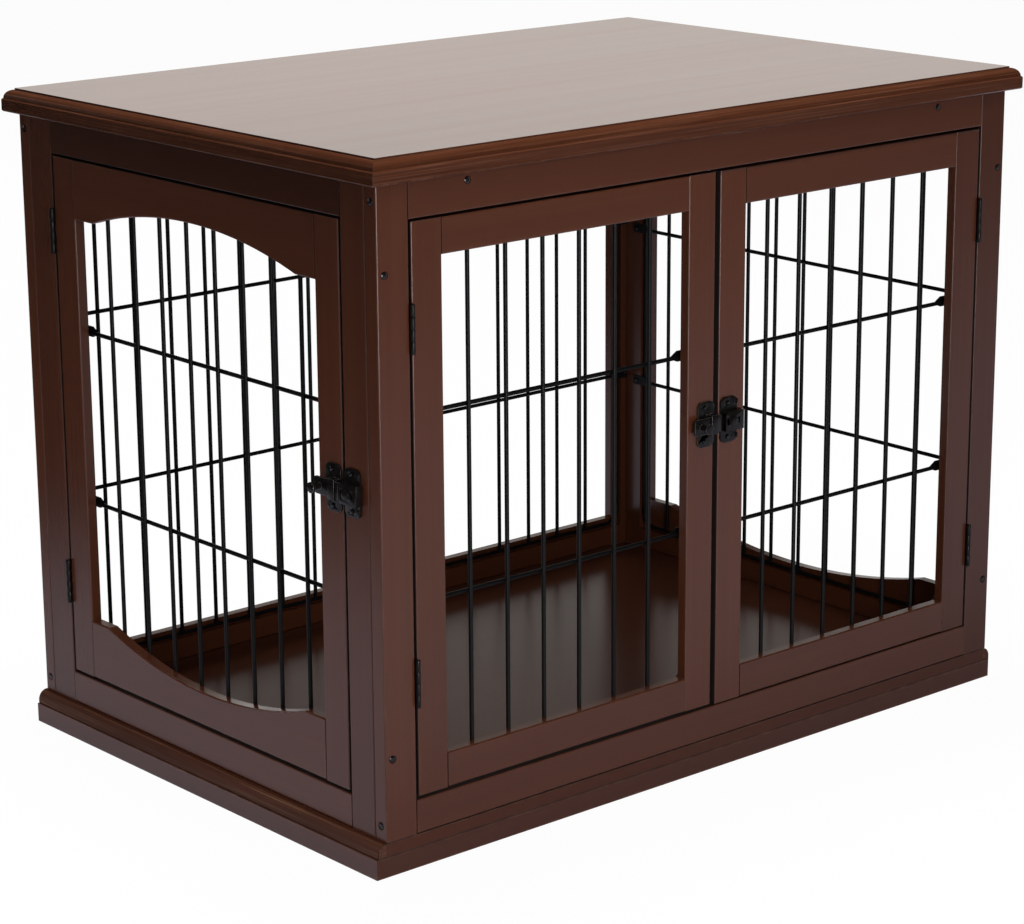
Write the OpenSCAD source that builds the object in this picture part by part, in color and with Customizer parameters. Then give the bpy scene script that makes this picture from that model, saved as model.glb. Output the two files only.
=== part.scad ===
// Wooden pet crate that doubles as a side table, with wire grids, two front doors and one side door.
// Axes: +X right along the long front, +Y to the back, +Z up. The origin is the middle of the footprint.

/* [Overall size] */
// Length of the table top
top_length = 810; // [700:5:950]
// Depth of the table top, front to back
top_depth = 564; // [480:2:700]
// Height from the floor to the table top
overall_height = 630; // [560:5:760]

/* [Table top and base] */
// Thickness of the top board
top_thickness = 22; // [20:0.5:28]
// How far the top board stands out past the walls
overhang = 11.5; // [11.5:0.5:18]
// Radius of the quarter round along the edge of the top
top_round = 8; // [6:0.5:9]
// Height of the rails that carry the floor
base_height = 18.5; // [14:0.5:30]
// Thickness of the floor board
floor_thickness = 13; // [11.5:0.5:18]
// Radius of the quarter round along both ends of the floor board
floor_round = 9.5; // [6:0.5:9.5]
// Width of the rails under the floor board
base_rail_width = 45; // [30:1:70]

/* [Wall frames] */
// Thickness of every wall and door board
board = 16; // [15:0.5:17]
// Width of the upright stiles of the walls
stile = 34; // [32:1:45]
// Width of the back stile of the left wall, which carries the side door
hinge_post = 36.5; // [33:0.5:45]
// Width of the front stile of the left wall, which carries the keeper
keeper_post = 33; // [32:0.5:45]
// Height of the top rails of the walls
rail = 33.5; // [30:0.5:45]
// Height of the bottom rails of the walls
bottom_rail = 31.5; // [29:0.5:45]
// Rise of the curved top rails from the shoulders to the middle
top_rise = 22.5; // [10:0.5:32]
// Drop of the curved bottom rails from the shoulders to the middle
bottom_rise = 25; // [10:0.5:32]
// Width of the battens that hold the top board
batten = 20; // [16:1:30]
// Rounding along the edges of the boards
edge = 1.5; // [0.8:0.1:2]
// Rounding at the ends of the boards
end_edge = 0.5; // [0.3:0.1:0.8]

/* [Doors] */
// Gap beside a door, on its hinge and latch sides
side_gap = 2.5; // [2.4:0.1:3.5]
// Gap above a door
end_gap = 2; // [1.5:0.1:4]
// Gap below a door
sill_gap = 3; // [2.4:0.1:4]
// How much lower the right front door hangs
right_door_drop = 1.8; // [0:0.2:2]
// Gap between the two front doors
meeting_gap = 6; // [4:0.1:7]
// Width of the upright stiles of the doors
door_stile = 33.2; // [32:0.2:40]
// Height of the rails of the doors
door_rail = 32; // [28:0.5:45]
// Height of the side door's top rail at its middle
crown_rail = 34; // [28:0.5:45]

/* [Wire grids] */
// Diameter of the upright bars and the border wire
bar = 4; // [3:0.5:4.5]
// Diameter of the level cross wires
cross = 4; // [2:0.2:4.4]
// Bars in each front door
front_bars = 6; // [4:1:9]
// Bars in the side door
side_bars = 8; // [5:1:12]
// Bars in the back wall
back_bars = 16; // [10:1:22]
// Bars in the right wall
right_bars = 10; // [6:1:14]
// Height of the cross wires above and below the middle of a door
door_cross = 84; // [60:0.5:110]
// Height of the cross wires above and below the middle of the back wall
wall_cross = 88; // [60:1:120]
// Height of the upper cross wire above the middle of the right wall
right_cross_up = 81; // [60:1:120]
// Height of the lower cross wire below the middle of the right wall
right_cross_down = 93; // [60:1:120]
// Corner radius of the border wire
border_round = 14; // [8:1:20]

/* [Hinges] */
// Length of a hinge
hinge_length = 43; // [36:1:60]
// Outer radius of the hinge knuckles
knuckle = 2.2; // [2:0.1:2.8]
// Radius of the hinge pins
pin = 1; // [0.7:0.1:1.3]
// Running gap between a pin and the turning knuckle
pin_fit = 0.05; // [0.03:0.01:0.1]
// Middle of the upper hinges of the front doors, from the top of the opening down
front_upper_hinge = 92.5; // [60:0.5:150]
// Middle of the lower hinge of the left front door, from the bottom of the opening up
left_lower_hinge = 107; // [60:0.5:150]
// Middle of the lower hinge of the right front door, from the bottom of the opening up
right_lower_hinge = 86; // [60:0.5:150]
// Middle of the upper hinge of the side door, from the top of the opening down
side_upper_hinge = 73.5; // [60:0.5:150]
// Middle of the lower hinge of the side door, from the bottom of the opening up
side_lower_hinge = 93; // [60:0.5:150]

/* [Slide latches] */
// Height of the middle of the front latch
front_latch_height = 340; // [300:1:380]
// Height of the middle of the side latch
side_latch_height = 339; // [300:1:380]
// Height of a latch plate from ear to ear
plate_height = 43; // [38:1:52]
// Width of a latch plate
plate_width = 21; // [20:0.5:26]
// Height of the sliding bolt
bolt_height = 15.6; // [12:0.2:17]
// Travel of the bolt from drawn back to latched
bolt_travel = 9; // [7:0.5:9]
// Running gap around the bolt
bolt_fit = 0.25; // [0.2:0.05:0.4]

/* [Output] */
// Sub-part to draw, or all of them

/* [Hidden] */
round_fn = 48;
eps = 0.01;
half_x = top_length / 2 - overhang;
half_y = top_depth / 2 - overhang;
wall_z0 = base_height + floor_thickness;
wall_z1 = overall_height - top_thickness;
open_z0 = wall_z0 + bottom_rail;
open_z1 = wall_z1 - rail;
mid_z = (open_z0 + open_z1) / 2;
// Half widths of the openings, seen from outside each wall
long_half = half_x - stile;
short_span = half_y - board;
short_half = short_span - stile;
left_x0 = hinge_post - short_span;
left_x1 = short_span - keeper_post;

// Top board profile
top_step = 1.5;
top_fillet = 1.5;
top_bead = 1.2;
top_inset = top_round + top_fillet;
lip_ease = 1.2;

// Floor board profile
floor_setback = 1.7;

// Base: its left end lies under the edge of the top, its right end a little inside it
base_setback = 6;
base_x0 = -top_length / 2;
base_x1 = top_length / 2 - base_setback;

// Doors: left edge, right edge, hinge side, arched rails, bars, shift of the bars, drop
door_z0 = open_z0 + sill_gap;
door_z1 = open_z1 - end_gap;
right_door_bar_shift = 2.5;
side_door_bar_shift = 1;
FRONT_LEFT = [-long_half + side_gap, -meeting_gap / 2, -1, false, front_bars, 0, 0];
FRONT_RIGHT = [meeting_gap / 2, long_half - side_gap, 1, false, front_bars,
    right_door_bar_shift, right_door_drop];
SIDE = [left_x0 + side_gap, left_x1 - side_gap, -1, true, side_bars, side_door_bar_shift, 0];
function door_x0(door) = door[0];
function door_x1(door) = door[1];
function hinge_side(door) = door[2];
function is_arched(door) = door[3];
function bar_count(door) = door[4];
function bar_shift(door) = door[5];
function door_drop(door) = door[6];
front_left_hinges = [open_z0 + left_lower_hinge, open_z1 - front_upper_hinge];
front_right_hinges = [open_z0 + right_lower_hinge, open_z1 - front_upper_hinge];
side_hinges = [open_z0 + side_lower_hinge, open_z1 - side_upper_hinge];
shoulder_part = 0.155;

// Grids: the wires lie in a rebate on the inner face of the boards
rebate_margin = 10;
border_offset = 6;
weld = 0.3;
rebate_room = 2;
rebate = bar + rebate_room;
wire_depth = board - rebate + bar / 2;
cross_depth = wire_depth + (bar + cross) / 2 - weld;
// The bars stand a little closer than an even division of the border
bar_spread = 0.995;
back_bar_shift = 2.2;
right_bar_shift = 5.4;
side_cross_lift = 2;

// Tabs: a pointed plate at each end of a cross wire, on the inner face of the stile
tab_t = 1.5;
tab_reach = 8;
tab_shoulder = 2;
tab_up = 6;
tab_down = 4;
tab_foot = 20;
tab_screw = 15;
// The back wall leaves less room between its opening and the side walls
back_tab_foot = stile - board - 0.5;
back_tab_screw = back_tab_foot - 3.2;

// Hinges: the pin stands proud of the face, the leaves lie in the gap
pin_proud = knuckle + 0.3;
knuckle_count = 4;
knuckle_pitch = hinge_length / knuckle_count;
leaf_t = 1;
leaf_gap = side_gap / 2 - leaf_t;
leaf_depth = 13;
leaf_clear = 0.35;
knuckle_gap = 0.2;
leaf_screw_depth = 8;
leaf_screw_spread = 12;
leaf_neck = 1;

// Screws
screw_head_r = 3.8;
screw_head_t = 1.2;
screw_r = 1.75;
long_screw = board + stile - 4;
top_screw = board + batten - 4;
small_head_r = 2.6;
small_screw_r = 1.3;
small_screw = 10;
leaf_head_r = 1.9;
leaf_head_t = 0.6;
leaf_screw_r = 1.2;
leaf_screw = 10;
recess_w = 0.9;
recess_t = 0.6;
recess_part = 0.6;
frame_screw_x = half_x - board / 2;
frame_screw_z = [wall_z0 + 75.5, wall_z1 - 77];
edge_screw_z = [wall_z0 + 14, wall_z1 - 15.5];
top_screw_x = 295;
top_screw_z = wall_z1 - 8;
// Cuts run past a face by this much
past = 1;

// Latches: u runs from the bolt plate to the keeper. Bolt and bridge are placed from the middle of
// the gap between the boards, plate and keeper from the edges of the boards
plate_t = 1.6;
plate_inset = 0.6;
ear_r = 6;
ear_screw_u = 12.2;
ear_screw_z = plate_height / 2 - 5.3;
bolt_t = 2;
bolt_w = 5;
bolt_back = -33;
bolt_tip = 0.4;
bolt_corner = 3;
tongue_back = -22;
tongue_half = bolt_height / 2 - 2;
bridge_u1 = -3.8;
wall_t = 1.2;
knob_u = -24.6;
knob_stem_r = 2.5;
knob_r = 4.9;
knob_stem = 8.5;
knob_t = 2;
// The bridge ends where the stem of the knob stands when the bolt is latched
stem_clear = 0.3;
bridge_u0 = knob_u + knob_stem_r + bolt_travel + stem_clear;
keeper_u0 = 2.4;
keeper_u1 = 25.2;
keeper_plate_u0 = 1.6;
keeper_plate_u1 = 22.7;
keeper_slot = [3.6, 6.8, 3.4];
keeper_window = [17, 20.2, 2.8];
button_u = 11.8;
button_r = 4.4;
button_t = 2;
keeper_screw_u = 10.9;
lug_w = 3;
lug_t = 1.4;
lug_z = [14, 18.5];
sleeve_half = bolt_height / 2 + bolt_fit;
sleeve_w = bolt_w + bolt_t + bolt_fit;

// Colours
module wood() { color([0.28, 0.15, 0.12]) children(); }
module inner_wood() { color([0.24, 0.14, 0.10]) children(); }
module wire() { color([0.09, 0.09, 0.09]) children(); }
module fitting() { color([0.13, 0.12, 0.13]) children(); }
module steel() { color([0.20, 0.20, 0.21]) children(); }

// Wall positions: x runs right seen from outside, y runs inward from the outer face
module at_front() { translate([0, -half_y, 0]) children(); }
module at_back() { translate([0, half_y, 0]) rotate([0, 0, 180]) children(); }
module at_left() { translate([-half_x, 0, 0]) rotate([0, 0, -90]) children(); }
module at_right() { translate([half_x, 0, 0]) rotate([0, 0, 90]) children(); }

// Boards
module rounded_rect(a, b, r) {
    union() {
        translate([r, 0]) square([a - 2 * r, b]);
        translate([0, r]) square([a, b - 2 * r]);
        for (x = [r, a - r], y = [r, b - r]) translate([x, y]) circle(r = r, $fn = round_fn);
    }
}

// Upright board: long edges and ends rounded, grain along z
module upright(x0, x1, z0, z1) {
    translate([x0, 0, z0]) intersection() {
        linear_extrude(height = z1 - z0) rounded_rect(x1 - x0, board, edge);
        translate([0, board, 0]) rotate([90, 0, 0])
            linear_extrude(height = board) rounded_rect(x1 - x0, z1 - z0, end_edge);
    }
}

// Level board: long edges and ends rounded, grain along x
module level(x0, x1, z0, z1) {
    translate([x0, 0, z0]) intersection() {
        rotate([90, 0, 90]) linear_extrude(height = x1 - x0) rounded_rect(board, z1 - z0, edge);
        translate([0, board, 0]) rotate([90, 0, 0])
            linear_extrude(height = board) rounded_rect(x1 - x0, z1 - z0, end_edge);
    }
}

// Rebate for a grid behind an opening
module rebate_cut(x0, x1, z0, z1) {
    translate([x0 - rebate_margin, board - rebate, z0 - rebate_margin])
        cube([x1 - x0 + 2 * rebate_margin, rebate + past, z1 - z0 + 2 * rebate_margin]);
}

// Half section of a round cut through a board that leaves rounded edges on both faces
module round_cut_profile(radius) {
    difference() {
        translate([0, -past]) square([radius + edge, board + 2 * past]);
        translate([radius, edge]) square([edge + past, board - 2 * edge]);
        for (y = [edge, board - edge]) translate([radius + edge, y]) circle(r = edge, $fn = round_fn);
    }
}

// Curved cut of an arched rail: the circle meets the shoulders at the rise
module arch_cut(x0, x1, z, up, rise) {
    chord = (x1 - x0) / 2 * (1 - shoulder_part);
    radius = (chord * chord + rise * rise) / (2 * rise);
    translate([(x0 + x1) / 2, 0, z + up * radius]) rotate([-90, 0, 0])
        rotate_extrude($fn = 4 * round_fn) round_cut_profile(radius);
}

module arched_top_rail(x0, x1, z0, z1) {
    difference() {
        level(x0, x1, z0 - top_rise, z1);
        arch_cut(x0, x1, z0, -1, top_rise);
    }
}

module arched_bottom_rail(x0, x1, z0, z1) {
    difference() {
        level(x0, x1, z0, z1 + bottom_rise);
        arch_cut(x0, x1, z1, 1, bottom_rise);
    }
}

// Screws: along +y, head flush with y = 0, with a cross recess
module screw_at(head_r, head_t, shank_r, length, cut = false) {
    rotate([-90, 0, 0]) difference() {
        union() {
            translate([0, 0, cut ? -past : 0])
                cylinder(h = head_t + (cut ? past : 0), r = head_r, $fn = round_fn);
            cylinder(h = length, r = shank_r, $fn = round_fn);
        }
        if (!cut) for (turn = [0, 90]) rotate([0, 0, turn])
            translate([-head_r * recess_part, -recess_w / 2, -eps])
                cube([2 * head_r * recess_part, recess_w, recess_t]);
    }
}

module face_screw(cut = false) { screw_at(screw_head_r, screw_head_t, screw_r, long_screw, cut); }
module small_screw_part() { screw_at(small_head_r, screw_head_t, small_screw_r, small_screw); }
module leaf_screw_part(cut = false) { screw_at(leaf_head_r, leaf_head_t, leaf_screw_r, leaf_screw, cut); }

// Screws through the stiles of the front or back frame into the side frames and into the rails
module frame_screw_set(cut = false) {
    for (side = [-1, 1]) {
        for (z = frame_screw_z) translate([side * frame_screw_x, 0, z]) face_screw(cut);
        for (z = edge_screw_z) translate([side * half_x, board / 2, z])
            rotate([0, 0, side * 90]) face_screw(cut);
        translate([side * top_screw_x, 0, top_screw_z])
            screw_at(screw_head_r, screw_head_t, screw_r, top_screw, cut);
    }
}

// Wire grid for an opening; lies in the rebate and is held by four screwed tabs
module grid(x0, x1, z0, z1, bars, offsets, shift, foot = tab_foot, screw = tab_screw) {
    a = x0 - border_offset;
    b = x1 + border_offset;
    lo = z0 - border_offset;
    hi = z1 + border_offset;
    pitch = bar_spread * (b - a) / (bars + 1);
    bars_x = (a + b - (bars + 1) * pitch) / 2 + shift;
    zc = (lo + hi) / 2;
    r = bar / 2;
    translate([0, wire_depth, 0]) {
        for (x = [a, b]) translate([x, 0, lo + border_round])
            cylinder(h = hi - lo - 2 * border_round, r = r, $fn = round_fn);
        for (z = [lo, hi]) translate([a + border_round, 0, z]) rotate([0, 90, 0])
            cylinder(h = b - a - 2 * border_round, r = r, $fn = round_fn);
        for (corner = [[a + border_round, lo + border_round, 180],
                [b - border_round, lo + border_round, 270],
                [a + border_round, hi - border_round, 90],
                [b - border_round, hi - border_round, 0]])
            translate([corner[0], 0, corner[1]]) rotate([90, 0, 0]) rotate([0, 0, corner[2]])
                rotate_extrude(angle = 90, $fn = round_fn)
                    translate([border_round, 0]) circle(r = r, $fn = round_fn);
        for (i = [1:bars]) translate([bars_x + i * pitch, 0, lo])
            cylinder(h = hi - lo, r = r, $fn = round_fn);
    }
    for (dz = offsets) {
        translate([a, cross_depth, zc + dz]) rotate([0, 90, 0])
            cylinder(h = b - a, r = cross / 2, $fn = round_fn);
        for (side = [-1, 1]) translate([side < 0 ? x0 : x1, board, zc + dz]) grid_tab(side, foot, screw);
    }
}

// Tab at the end of a cross wire: a pointed plate screwed to the inner face of the stile
module grid_tab(side, foot, screw) {
    translate([0, tab_t, 0]) rotate([90, 0, 0]) linear_extrude(height = tab_t) difference() {
        polygon([[-side * tab_reach, 0], [side * tab_shoulder, tab_up], [side * foot, tab_up],
            [side * foot, -tab_down], [side * tab_shoulder, -tab_down]]);
        translate([side * screw, (tab_up - tab_down) / 2]) circle(r = small_screw_r, $fn = round_fn);
    }
}

// Places children at each tab screw, from its head down into the wood
module at_tab_screws(x0, x1, offsets, zc, screw) {
    for (dz = offsets, side = [-1, 1])
        translate([(side < 0 ? x0 : x1) + side * screw, board + tab_t + screw_head_t,
            zc + dz + (tab_up - tab_down) / 2]) rotate([0, 0, 180]) children();
}

module grid_tab_screws(x0, x1, offsets, zc, screw = tab_screw) {
    at_tab_screws(x0, x1, offsets, zc, screw) small_screw_part();
}

module tab_holes(x0, x1, offsets, zc, screw = tab_screw) {
    at_tab_screws(x0, x1, offsets, zc, screw) rotate([-90, 0, 0])
        cylinder(h = small_screw, r = small_screw_r, $fn = round_fn);
}

// Hinges: local x points from the frame to the door, y inward, origin on the gap middle at the outer face
module knuckles(from, to) {
    translate([0, -pin_proud, from]) cylinder(h = to - from, r = knuckle, $fn = round_fn);
}

module leaf_plate(side, from, to) {
    neck_x = side > 0 ? leaf_gap : -leaf_gap - leaf_t;
    translate([neck_x, -pin_proud + knuckle + leaf_clear, 0])
        cube([leaf_t, leaf_depth + pin_proud - knuckle - leaf_clear, hinge_length]);
    translate([neck_x, -pin_proud, from]) cube([leaf_t, pin_proud + leaf_neck, to - from]);
}

module leaf_screws(side, z, cut = false) {
    for (dz = [-leaf_screw_spread, leaf_screw_spread])
        translate([side * leaf_gap, leaf_screw_depth, z + dz]) rotate([0, 0, -side * 90])
            leaf_screw_part(cut);
}

// Leaf on the door: the second and fourth knuckles
module door_leaf(z) {
    translate([0, 0, z - hinge_length / 2]) difference() {
        union() {
            for (i = [1, 3]) {
                from = i * knuckle_pitch + knuckle_gap;
                to = (i + 1) * knuckle_pitch - (i < knuckle_count - 1 ? knuckle_gap : 0);
                leaf_plate(1, from, to);
                knuckles(from, to);
            }
        }
        translate([0, -pin_proud, -past])
            cylinder(h = hinge_length + 2 * past, r = pin + pin_fit, $fn = round_fn);
        translate([0, 0, hinge_length / 2]) leaf_screws(1, 0, true);
    }
}

// Leaf on the frame: the first and third knuckles
module frame_leaf(z) {
    translate([0, 0, z - hinge_length / 2]) difference() {
        union() {
            for (i = [0, 2]) {
                leaf_plate(-1, i * knuckle_pitch, (i + 1) * knuckle_pitch);
                knuckles(i * knuckle_pitch, (i + 1) * knuckle_pitch);
            }
        }
        translate([0, -pin_proud, -past]) cylinder(h = hinge_length + 2 * past, r = pin, $fn = round_fn);
        translate([0, 0, hinge_length / 2]) leaf_screws(-1, 0, true);
    }
}

module hinge_pin(z) {
    translate([0, -pin_proud, z - hinge_length / 2]) cylinder(h = hinge_length, r = pin, $fn = round_fn);
}

// Puts hinge parts at the hinge side of a door
module at_hinge(door) {
    x = hinge_side(door) < 0 ? door_x0(door) - side_gap / 2 : door_x1(door) + side_gap / 2;
    translate([x, 0, 0]) mirror([hinge_side(door) < 0 ? 0 : 1, 0, 0]) children();
}

// Latches: local x is u, y inward, z from the latch middle; the gap middle is x = 0
function bolt_screw_u(gap) = -gap / 2 - plate_inset - ear_screw_u;
function keeper_hole_u(gap) = gap / 2 + keeper_screw_u;

module plate_shape(from, to) {
    w = to - from;
    h = plate_height;
    translate([from, -h / 2]) union() {
        translate([ear_r, 0]) square([w - 2 * ear_r, h]);
        translate([0, ear_r]) square([w, h - 2 * ear_r]);
        for (x = [ear_r, w - ear_r], y = [ear_r, h - ear_r])
            translate([x, y]) circle(r = ear_r, $fn = round_fn);
    }
}

module plate_body(from, to, screw_u) {
    rotate([90, 0, 0]) linear_extrude(height = plate_t) difference() {
        plate_shape(from, to);
        for (z = [-ear_screw_z, ear_screw_z])
            translate([screw_u, z]) circle(r = small_screw_r, $fn = round_fn);
    }
}

// Box open at both ends along u, standing on the plate
module sleeve(from, to, half, inner_w) {
    translate([0, -inner_w - wall_t, 0]) difference() {
        translate([from, 0, -half - wall_t])
            cube([to - from, inner_w + wall_t - plate_t + eps, 2 * (half + wall_t)]);
        translate([from - past, wall_t, -half]) cube([to - from + 2 * past, inner_w, 2 * half]);
    }
}

module bolt_plate(gap) {
    edge_u = -gap / 2 - plate_inset;
    plate_body(edge_u - plate_width, edge_u, bolt_screw_u(gap));
    sleeve(bridge_u0, bridge_u1, sleeve_half, sleeve_w);
}

module keeper(gap) {
    translate([gap / 2, 0, 0]) keeper_body();
}

// Keeper placed from the edge of the board that carries it
module keeper_body() {
    plate_body(keeper_plate_u0, keeper_plate_u1, keeper_screw_u);
    difference() {
        union() {
            sleeve(keeper_u0, keeper_u1, sleeve_half, sleeve_w);
            translate([keeper_u1 - wall_t, -sleeve_w - wall_t, -sleeve_half - wall_t])
                cube([wall_t, sleeve_w + wall_t - plate_t, 2 * (sleeve_half + wall_t)]);
            translate([button_u, -sleeve_w - wall_t + eps, 0]) rotate([90, 0, 0])
                cylinder(h = button_t, r = button_r, $fn = round_fn);
        }
        for (hole = [keeper_slot, keeper_window])
            translate([hole[0], -sleeve_w - 2 * wall_t, -hole[2]])
                cube([hole[1] - hole[0], 3 * wall_t, 2 * hole[2]]);
    }
    for (side = [-1, 1]) translate([keeper_plate_u1 - lug_t, -lug_w, side > 0 ? lug_z[0] : -lug_z[1]])
        cube([lug_t, lug_w - plate_t / 2, lug_z[1] - lug_z[0]]);
}

// Strap with rounded back corners, tongue below it and knob on it
module bolt() {
    translate([0, -bolt_w, 0]) rotate([90, 0, 0]) linear_extrude(height = bolt_t)
        translate([bolt_back, -bolt_height / 2]) union() {
            translate([bolt_corner, 0]) square([bolt_tip - bolt_back - bolt_corner, bolt_height]);
            translate([0, bolt_corner]) square([bolt_corner + eps, bolt_height - 2 * bolt_corner]);
            for (y = [bolt_corner, bolt_height - bolt_corner]) translate([bolt_corner, y])
                circle(r = bolt_corner, $fn = round_fn);
        }
    translate([tongue_back, -bolt_w - eps, -tongue_half])
        cube([bolt_tip - tongue_back, bolt_w - plate_t - bolt_fit, 2 * tongue_half]);
    translate([knob_u, -bolt_w - bolt_t + eps, 0]) rotate([90, 0, 0]) {
        cylinder(h = knob_stem, r = knob_stem_r, $fn = round_fn);
        translate([0, 0, knob_stem - eps]) cylinder(h = knob_t, r = knob_r, $fn = round_fn);
    }
}

module plate_screws(screw_u) {
    for (z = [-ear_screw_z, ear_screw_z])
        translate([screw_u, -plate_t - screw_head_t, z]) small_screw_part();
}

// The latch frames, without and with the turn of their wall
module front_latch_spot() { translate([0, 0, front_latch_height]) children(); }
module side_latch_spot() { translate([left_x1 - side_gap / 2, 0, side_latch_height]) children(); }
module at_front_latch() { at_front() front_latch_spot() children(); }
module at_side_latch() { at_left() side_latch_spot() children(); }

// Holes left by the latch screws in the wood
module latch_holes(screw_u) {
    for (z = [-ear_screw_z, ear_screw_z])
        translate([screw_u, -plate_t - screw_head_t, z]) rotate([-90, 0, 0])
            cylinder(h = small_screw, r = small_screw_r, $fn = round_fn);
}

// Door boards
function door_open_x0(door) = door_x0(door) + door_stile;
function door_open_x1(door) = door_x1(door) - door_stile;
door_open_z0 = door_z0 + door_rail;
door_open_z1 = door_z1 - door_rail;
door_open_mid = (door_open_z0 + door_open_z1) / 2;
wall_offsets = [-wall_cross, wall_cross];
right_offsets = [-right_cross_down, right_cross_up];
function cross_lift(door) = is_arched(door) ? side_cross_lift : 0;
function door_offsets(door) = [for (side = [-1, 1]) side * door_cross + cross_lift(door)];

module door_rebate(door) { rebate_cut(door_open_x0(door), door_open_x1(door), door_open_z0, door_open_z1); }
module door_tab_holes(door) {
    tab_holes(door_open_x0(door), door_open_x1(door), door_offsets(door), door_open_mid);
}

module door_stile_at(door, side) {
    translate([0, 0, -door_drop(door)]) difference() {
        if (side < 0) upright(door_x0(door), door_x0(door) + door_stile, door_z0, door_z1);
        else upright(door_x1(door) - door_stile, door_x1(door), door_z0, door_z1);
        door_rebate(door);
        door_tab_holes(door);
    }
}

module door_hinge_stile(door, hinge_z) {
    difference() {
        door_stile_at(door, hinge_side(door));
        at_hinge(door) for (z = hinge_z) leaf_screws(1, z, true);
    }
}

module door_top_rail(door) {
    translate([0, 0, -door_drop(door)]) difference() {
        if (is_arched(door))
            arched_top_rail(door_open_x0(door), door_open_x1(door), door_z1 - crown_rail, door_z1);
        else level(door_open_x0(door), door_open_x1(door), door_open_z1, door_z1);
        door_rebate(door);
    }
}

module door_bottom_rail(door) {
    translate([0, 0, -door_drop(door)]) difference() {
        if (is_arched(door))
            arched_bottom_rail(door_open_x0(door), door_open_x1(door), door_z0, door_open_z0);
        else level(door_open_x0(door), door_open_x1(door), door_z0, door_open_z0);
        door_rebate(door);
    }
}

module door_grid(door) {
    translate([0, 0, -door_drop(door)]) grid(door_open_x0(door), door_open_x1(door), door_open_z0,
        door_open_z1, bar_count(door), door_offsets(door), bar_shift(door));
}

module door_screw_set(door, hinge_z) {
    translate([0, 0, -door_drop(door)])
        grid_tab_screws(door_open_x0(door), door_open_x1(door), door_offsets(door), door_open_mid);
    at_hinge(door) for (z = hinge_z) leaf_screws(1, z);
}

// Wall boards: span is the half width of the whole frame
module wall_stile(span, side, width = stile) {
    if (side < 0) upright(-span, width - span, wall_z0, wall_z1);
    else upright(span - width, span, wall_z0, wall_z1);
}

module wall_rebate(half) { rebate_cut(-half, half, open_z0, open_z1); }

// Sub-parts of the case
// Waste outside a quarter round whose centre is the origin
module quarter_cut(side, r) {
    difference() {
        translate([side > 0 ? 0 : -r - past, 0]) square([r + past, r + past]);
        circle(r = r, $fn = round_fn);
    }
}

// Edge moulding of the top: step, quarter round, fillet, bead and eased lower edge
module top_profile(span) {
    half = span / 2;
    h = top_thickness;
    shoulder = h - top_step - top_round;
    difference() {
        polygon([[-half + lip_ease, 0], [half - lip_ease, 0], [half, lip_ease], [half, shoulder - top_bead],
            [half - top_bead, shoulder], [half - top_fillet, shoulder], [half - top_fillet, h - top_step],
            [half - top_inset, h - top_step], [half - top_inset, h], [-half + top_inset, h],
            [-half + top_inset, h - top_step], [-half + top_fillet, h - top_step],
            [-half + top_fillet, shoulder], [-half + top_bead, shoulder], [-half, shoulder - top_bead],
            [-half, lip_ease]]);
        for (side = [-1, 1]) translate([side * (half - top_inset), shoulder]) quarter_cut(side, top_round);
    }
}

module top_board() {
    wood() translate([0, 0, wall_z1]) intersection() {
        translate([-top_length / 2, 0, 0]) rotate([90, 0, 90]) linear_extrude(height = top_length)
            top_profile(top_depth);
        translate([0, top_depth / 2, 0]) rotate([90, 0, 0]) linear_extrude(height = top_depth)
            top_profile(top_length);
    }
}

module floor_board() {
    x0 = base_x0 + floor_setback;
    round_z = floor_thickness - floor_round;
    wood() translate([0, half_y, base_height]) rotate([90, 0, 0]) linear_extrude(height = 2 * half_y)
        difference() {
            translate([x0, 0]) square([base_x1 - x0, floor_thickness]);
            translate([x0 + floor_round, round_z]) quarter_cut(-1, floor_round);
            translate([base_x1 - floor_round, round_z]) quarter_cut(1, floor_round);
        }
}

// Base rails meet in mitres at the corners
module base_mitre(long_side, side) {
    y = half_y;
    w = base_rail_width;
    x = side < 0 ? base_x0 : base_x1;
    linear_extrude(height = base_height)
        if (long_side)
            polygon([[base_x0, side * y], [base_x1, side * y], [base_x1 - w, side * (y - w)],
                [base_x0 + w, side * (y - w)]]);
        else
            polygon([[x, -y], [x, y], [x - side * w, y - w], [x - side * w, w - y]]);
}

module base_front_rail() { wood() base_mitre(true, -1); }
module base_back_rail() { wood() base_mitre(true, 1); }
module base_left_rail() { wood() base_mitre(false, -1); }
module base_right_rail() { wood() base_mitre(false, 1); }

// Battens behind the long top rails carry the top board
module batten_piece() {
    inner_wood() difference() {
        translate([-long_half, board, wall_z1 - batten]) cube([2 * long_half, batten, batten]);
        frame_screw_set(true);
    }
}

module front_batten() { at_front() batten_piece(); }
module back_batten() { at_back() batten_piece(); }

module front_stile(side) {
    wood() at_front() difference() {
        wall_stile(half_x, side);
        frame_screw_set(true);
        if (side < 0) at_hinge(FRONT_LEFT) for (z = front_left_hinges) leaf_screws(-1, z, true);
        else at_hinge(FRONT_RIGHT) for (z = front_right_hinges) leaf_screws(-1, z, true);
    }
}

module front_left_stile() { front_stile(-1); }
module front_right_stile() { front_stile(1); }

module long_rail(z0, z1) {
    difference() {
        level(-long_half, long_half, z0, z1);
        frame_screw_set(true);
    }
}

module front_top_rail() { wood() at_front() long_rail(open_z1, wall_z1); }
module front_bottom_rail() { wood() at_front() long_rail(wall_z0, open_z0); }

module back_stile(side) {
    wood() at_back() difference() {
        wall_stile(half_x, side);
        wall_rebate(long_half);
        frame_screw_set(true);
        tab_holes(-long_half, long_half, wall_offsets, mid_z, back_tab_screw);
    }
}

// Left and right as seen from the front of the crate
module back_left_stile() { back_stile(1); }
module back_right_stile() { back_stile(-1); }

module back_rail(z0, z1) {
    wood() at_back() difference() {
        long_rail(z0, z1);
        wall_rebate(long_half);
    }
}

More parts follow.
